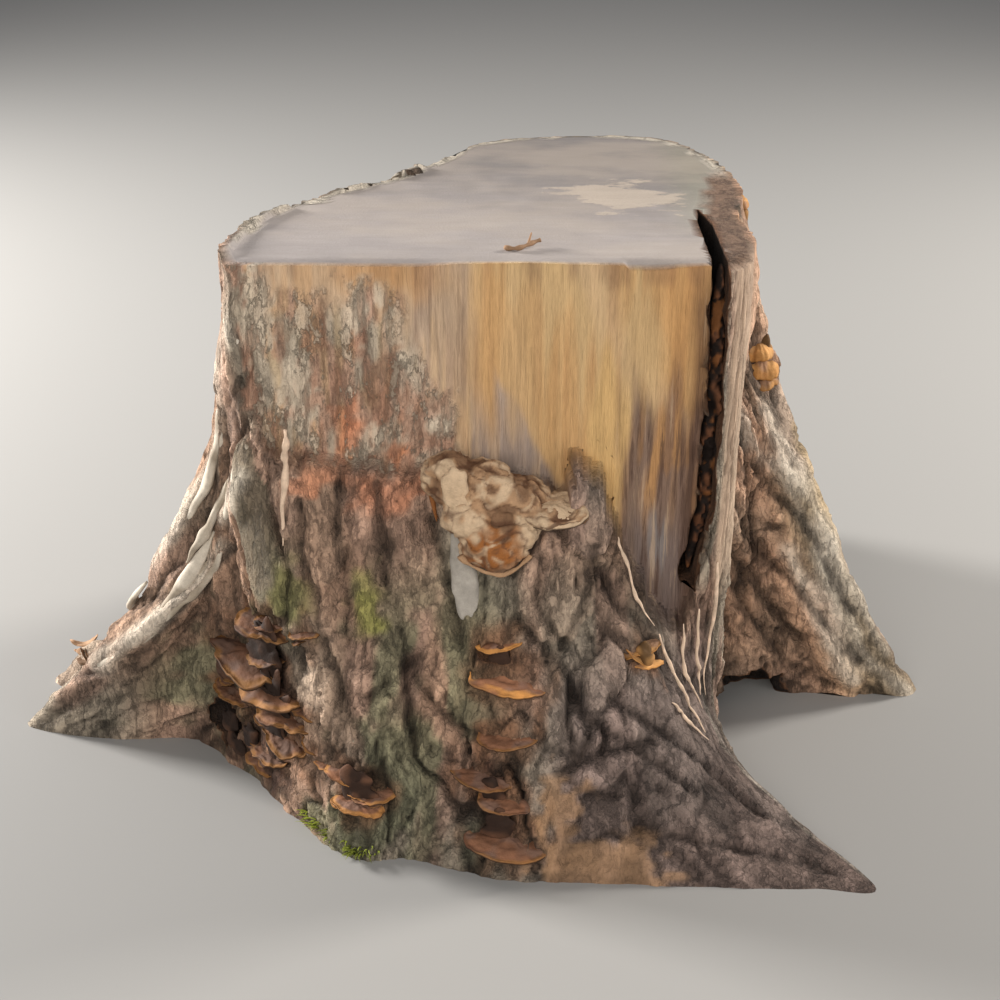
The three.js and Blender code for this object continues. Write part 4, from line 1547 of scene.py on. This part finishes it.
def crust_trim(hue):
    """The hanging plate, the curled flap, the pale rim of the bulge and the fibres beside the crust."""
    plate = ball((1, 1, 1), (0, 0, 0), 48, 40)
    plate = np.sign(plate) * np.abs(plate) ** 0.6 * np.array((11, 4, 19))
    plate = plate * (1 + 0.4 * soft(301, in_cells(plate, 7)))[..., None]
    parts = [painted(tilted(plate, -7) + np.array(CRUST_PLATE), hue["crust_cream"])]
    flap, out, top = shelf_places(30, 0.15, 303, 0.5)
    flap[..., 2] -= 8 * out ** 3 * step(-0.2, 1, -flap[..., 1] / 31)
    # The flap's underside is painted shade.
    shade = mix(hue["crust_brown"] * 0.5, hue["crust_cream"], top)
    parts.append(painted(flap + np.array(CRUST_FLAP), shade))
    share = np.linspace(0, 1, 40)
    sweep = np.radians(195 + 150 * share)
    rim = np.stack((
        CRUST_BULGE[0] + CRUST_BULGE[3] * np.cos(sweep),
        CRUST_BULGE[1] - 8 - 3 * np.sin(np.pi * share),
        CRUST_BULGE[2] + CRUST_BULGE[5] * np.sin(sweep) + 2 * soft(306, (share * 7,)),
    ), -1)
    parts.append(painted(rod(rim, 2.0 + 1.0 * soft(305, (share * 9,))), hue["crust_tan"]))
    draws = scatter(307, np.arange(3 * CRUST_FIBRES)).reshape(CRUST_FIBRES, 3)
    for number, draw in enumerate(draws):
        start = np.array((-84 + 2.3 * number, -190 - 6 * draw[0], 336 - 10 * draw[1]))
        line = start + np.outer(np.linspace(0, 1, 12), (7 + 5 * draw[2], -8, -46))
        line[:, 0] += 2 * soft(309 + number, (np.linspace(0, 5, 12),))
        strand = rod(line, 2.4 * np.sin(np.linspace(0.3, 2.9, 12)))
        parts.append(painted(strand, mix(hue["crust_brown"], hue["crust_orange"], draw[0])))
    return parts


class STUMP_OT_crust(bpy.types.Operator):
    """Crust fungus on the ledge under the sawn face"""

    bl_idname = "stump.crust"
    bl_label = "Crust"

    def execute(self, context):
        hue = palette(context.scene.fungus_colours)
        parts = [wrapped(ball(oval[3:], oval[:3], 40, 24), {}) for oval in (*CRUST_LUMPS, CRUST_BULGE)]
        lump = placed("crust", joined(parts))
        fused = lump.modifiers.new("fused", "REMESH")
        fused.mode = "VOXEL"
        fused.voxel_size = CRUST_VOXEL
        mesh = baked(lump)
        points = np.zeros(len(mesh.vertices) * 3, np.float32)
        normals = np.zeros(len(mesh.vertices) * 3, np.float32)
        mesh.vertices.foreach_get("co", points)
        mesh.vertices.foreach_get("normal", normals)
        points = points.reshape(-1, 3) / MM
        normals = normals.reshape(-1, 3)
        bend = np.stack([soft(205 + axis, tuple(points.T / 13)) for axis in range(3)])
        twisted = points.T + 7 * bend
        folds = soft(201, tuple(twisted / 18))
        creases = np.abs(soft(202, (twisted[0] / 13, twisted[1] / 13, twisted[2] / 8)))
        wrinkles = soft(204, tuple(twisted / 5))
        pores = soft(203, tuple(points.T / 2.8))
        height = 3.6 * folds + 6 * np.minimum(creases, 0.3) - 1.8 + 1.5 * wrinkles + 0.6 * pores
        bulge = 1 - step(0.6, 1.2, spot(points[:, 0], points[:, 2], -26, 270, 30, 26) + 0.4 * folds)
        shade = mix(hue["crust_cream"], hue["crust_tan"], step(-0.2, 0.35, -folds + 0.5 * wrinkles))
        shade = mix(shade, hue["crust_orange"], bulge * step(-0.6, 0.2, wrinkles + folds))
        # Creases, low folds and downward faces are darkened: painted shade.
        sunk = 1 - step(0.02, 0.15, creases + 0.15 * folds)
        shade = mix(shade, hue["crust_brown"], 0.7 * sunk)
        shade = mix(shade, hue["crust_brown"], 0.6 * step(0.25, 0.6, -folds - 0.3 * wrinkles))
        shade = mix(shade, hue["crust_brown"], 0.75 * step(0.2, 0.9, -normals[:, 2]))
        points = (points + normals * height[:, None]) * MM
        mesh.vertices.foreach_set("co", points.astype(np.float32).ravel())
        colour_layer(mesh, "tint", shade)
        mass = bmesh.new()
        mass.from_mesh(mesh)
        bpy.data.meshes.remove(mesh)
        parts = [mass] + crust_trim(hue)
        finish = skin_finish("crust_skin", 140.0, 0.36, 0.004)
        dressed("fine_crust", joined(parts), finish, "crust_fungus", "crust_ledge")
        return {"FINISHED"}


# Loose pieces.

class STUMP_OT_litter(bpy.types.Operator):
    """Twig on the sawn top and bark chip on the left rear root"""

    bl_idname = "stump.litter"
    bl_label = "Litter"

    def execute(self, context):
        hue = palette(context.scene.fungus_colours)
        finish = skin_finish("dry_wood", 220.0, 0.35, 0.001)
        share = np.linspace(0, 1, 18)
        path = np.stack((
            -16 + 30 * share,
            -138 - 4 * np.sin(share * 5) + 8 * share ** 2,
            HEIGHT + 2.3 + 2.7 * share ** 2,
        ), -1)
        parts = [painted(rod(path, 1.9 * (1 + 0.25 * np.sin(share * 19))), hue["twig"])]
        snag = rod(path[11] + np.outer(np.linspace(0, 1, 8), (3, 5, 9)), np.linspace(1.3, 0.6, 8))
        parts.append(painted(snag, hue["twig"] * 1.3))
        dressed("fine_twig", joined(parts), finish, "litter", "twig_top")
        low, high = (np.array(corner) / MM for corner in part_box("bark_chip_left"))
        parts = []
        for number, draw in enumerate(scatter(211, np.arange(5 * CHIPS)).reshape(CHIPS, 5)):
            flake = ball((9 + 9 * draw[0], 6 + 5 * draw[1], 1.8), (0, 0, 0), 28, 14)
            ragged = soft(213 + number, (flake[..., 0] / 6 + 9, flake[..., 1] / 6 + 9))
            flake[..., :2] *= (1 + 0.3 * ragged)[..., None]
            flake[..., 2] += 0.03 * flake[..., 0] ** 2 + 2 * ragged
            flake = tilted(flake, 50 * (draw[2] - 0.5))
            centre = low + (high - low) * (0.3 + 0.4 * draw[2:5])
            parts.append(painted(flake + centre, hue["twig"] * (0.6 + 0.8 * draw[3])))
        dressed("fine_chip", joined(parts), finish, "litter", "bark_chip_left")
        return {"FINISHED"}


def crack_rot(hue):
    """Crumbly rotten bark that fills the mouth of the crack."""
    columns, rows = 48, 190
    share = np.linspace(0, 1, rows)
    heights = CRACK_BOTTOM + 4 + 290 * share
    up, turn = np.meshgrid(heights, full_turn(columns), indexing="ij")
    taper = np.sqrt(np.abs(np.sin(np.pi * share)))[:, None]
    places = np.stack((
        163.5 - crack_shift(up) + 9.5 * taper * np.cos(turn),
        -154 + 15 * taper * np.sin(turn),
        up,
    ), -1)
    lumps = soft(261, in_cells(places, (7, 7, 11)))
    crumbs = soft(262, in_cells(places, 3.2))
    places[..., 1] -= taper * (7 * lumps + 2.4 * crumbs)
    places[..., 0] += taper * (1.6 * crumbs)
    # Sunken crumbs are darkened with umber as painted shade.
    shade = mix(hue["umber"] * 0.6, hue["crumb"], step(-0.1, 0.5, lumps + 0.5 * crumbs))
    bright = step(0.25, 0.6, soft(263, in_cells(places, (9, 9, 16))) + 0.5 * crumbs)
    return painted(places, mix(shade, hue["crust_orange"], 0.5 * bright))


class STUMP_OT_peelings(bpy.types.Operator):
    """Peeling edges and loose plates of bark on the front, and the rot that fills the crack"""

    bl_idname = "stump.peelings"
    bl_label = "Peelings"

    def execute(self, context):
        hue = palette(context.scene.fungus_colours)
        parts = []
        for number, (points, half_thick) in enumerate(PEELINGS):
            line = along_bark(points, 14)
            share = np.linspace(0, 1, len(line))
            aside = soft(221 + number, (share * 7,))
            line[:, 0] += 1.6 * aside
            line[:, 1] -= 6.5 + 2 * soft(231 + number, (share * 9,))
            thick = half_thick * np.sin(np.pi * (0.08 + 0.84 * share) ** 0.8)
            thick = thick * (1 + 0.4 * soft(241 + number, (share * 16,)))
            body = rod(line, thick)
            tone = hue["strip"] * (1 + 0.25 * soft(251, (body[..., 2] / 5, body[..., 0] / 5)))[..., None]
            parts.append(painted(body, tone))
        bark_hue = palette(context.scene.stump_colours)
        for number, (points, half_wide) in enumerate(STRAPS):
            body = strap(points, half_wide, 341 + 3 * number)
            blot = soft(361 + number, in_cells(body, 16))
            tone = mix(bark_hue["bark_grey"], bark_hue["crest"], step(-0.5, 0.3, blot))
            parts.append(painted(body, tone))
        for number, loose in enumerate(LOOSE_PLATES):
            station, height, half_wide, half_tall, thick, lean, name = loose
            plate = ball((1, 1, 1), (0, 0, 0), 72, 60)
            plate = np.sign(plate) * np.abs(plate) ** (0.85, 0.8, 0.75)
            edge = soft(311 + number, (plate[..., 0] * 2 + 9, plate[..., 2] * 4 + 9))
            plate = plate * np.array((half_wide, thick, half_tall)) * (1 + 0.12 * edge)[..., None]
            plate[..., 1] += 1.5 * soft(321 + number, (plate[..., 0] / 14 + 9, plate[..., 2] / 24 + 9))
            blot = soft(331 + number, (plate[..., 0] / 9 + 9, plate[..., 2] / 16 + 9))
            tone = bark_hue[name] * (1 + 0.16 * blot)[..., None]
            parts.append(painted(draped(tilted(plate, lean), station, height), tone))
        finish = skin_finish("peeling_bark", 160.0, 0.35, 0.001)
        dressed("peeling_bark", joined(parts), finish, "litter")
        dressed("crack_rot", joined([crack_rot(hue)]), finish, "litter")
        return {"FINISHED"}


class STUMP_OT_moss(bpy.types.Operator):
    """Tufts of moss at the foot of the bark"""

    bl_idname = "stump.moss"
    bl_label = "Moss"

    def execute(self, context):
        hue = palette(context.scene.fungus_colours)
        parts = []
        for number, (station, height, reach) in enumerate(MOSS_TUFTS):
            draws = scatter(281 + number, np.arange(5 * BLADES)).reshape(BLADES, 5)
            for place, rise, lean, size, tone in draws:
                root = station + (place - 0.5) * reach / 20
                foot = at_bark(root, height + 10 * rise)
                normal = outward(np.array(root / len(STATIONS)), height)
                tip = np.array((*(normal * (4 + 9 * size)), 5 + 10 * size - 6 * lean))
                share = np.linspace(0, 1, 5)[:, None]
                line = foot + tip * share + np.array((6 * (lean - 0.5), 0, -5)) * share ** 2
                line[:, 2] = np.maximum(line[:, 2], 1.0)
                blade = rod(line, 0.9 * (1.05 - share[:, 0]), 5)
                parts.append(painted(blade, hue["tuft"] * (0.5 + tone)))
        finish = skin_finish("moss_leaf", 300.0, 0.25, 0.0005)
        dressed("moss_tufts", joined(parts), finish, "litter")
        return {"FINISHED"}


class STUMP_OT_stage(bpy.types.Operator):
    """Plain pale floor, soft light and the camera"""

    bl_idname = "stump.stage"
    bl_label = "Stage"

    def execute(self, context):
        look = context.scene.stage_look
        floor = bmesh.new()
        bmesh.ops.create_circle(floor, cap_ends=True, segments=96, radius=FLOOR_RADIUS)
        mesh = bpy.data.meshes.new("floor")
        floor.to_mesh(mesh)
        floor.free()
        ground = bpy.data.objects.new("floor", mesh)
        context.scene.collection.objects.link(ground)
        pale = Finish("pale_floor")
        pale.shader.inputs["Base Color"].default_value = (*linear(look.floor), 1.0)
        pale.shader.inputs["Roughness"].default_value = 0.9
        mesh.materials.append(pale.material)

        world = bpy.data.worlds.new("studio")
        world.use_nodes = True
        sky = world.node_tree.nodes["Background"]
        sky.inputs["Color"].default_value = SKY
        sky.inputs["Strength"].default_value = SKY_STRENGTH
        context.scene.world = world
        for name, where, size, power, tone in LAMPS:
            lamp = bpy.data.lights.new(name, "AREA")
            lamp.size = size
            lamp.energy = power
            lamp.color = tone
            stand = bpy.data.objects.new(name, lamp)
            stand.location = where
            aim = Vector(LAMP_AIM) - Vector(where)
            stand.rotation_euler = aim.to_track_quat("-Z", "Y").to_euler()
            context.scene.collection.objects.link(stand)

        back = Vector((0.0, -math.cos(look.elevation), math.sin(look.elevation)))
        view = bpy.data.cameras.new("view")
        view.lens = look.lens
        view.sensor_width = SENSOR
        camera = bpy.data.objects.new("view", view)
        camera.location = Vector(CAMERA_AIM) + back * look.distance
        camera.rotation_euler = (-back).to_track_quat("-Z", "Y").to_euler()
        context.scene.collection.objects.link(camera)
        context.scene.camera = camera
        context.scene.view_settings.view_transform = "Standard"
        return {"FINISHED"}


class STUMP_PT_panel(bpy.types.Panel):
    """Lists the pieces of the stump"""

    bl_idname = "STUMP_PT_panel"
    bl_label = "Tree Stump"
    bl_space_type = "VIEW_3D"
    bl_region_type = "UI"
    bl_category = "Stump"

    def draw(self, context):
        for operator in PIECES:
            self.layout.operator(operator.bl_idname)


GROUPS = {
    "stump_sizes": StumpSizes,
    "stump_colours": StumpColours,
    "fungus_colours": FungusColours,
    "stage_look": StageLook,
}
PIECES = (
    STUMP_OT_stage,
    STUMP_OT_trunk,
    STUMP_OT_brackets,
    STUMP_OT_crust,
    STUMP_OT_litter,
    STUMP_OT_peelings,
    STUMP_OT_moss,
)
CLASSES = (*GROUPS.values(), *PIECES, STUMP_PT_panel)


def register():
    """Makes the classes known to Blender."""
    for kind in CLASSES:
        bpy.utils.register_class(kind)
    for name, kind in GROUPS.items():
        setattr(bpy.types.Scene, name, bpy.props.PointerProperty(type=kind))


def unregister():
    """Removes the classes from Blender."""
    for name in GROUPS:
        delattr(bpy.types.Scene, name)
    for kind in reversed(CLASSES):
        bpy.utils.unregister_class(kind)


def main():
    """Clears the start-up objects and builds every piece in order."""
    for name in ("Cube", "Light", "Camera"):
        spare = bpy.data.objects.get(name)
        if spare:
            bpy.data.objects.remove(spare)
    register()
    for operator in PIECES:
        group, name = operator.bl_idname.split(".")
        getattr(getattr(bpy.ops, group), name)()


if __name__ == "__main__":
    main()
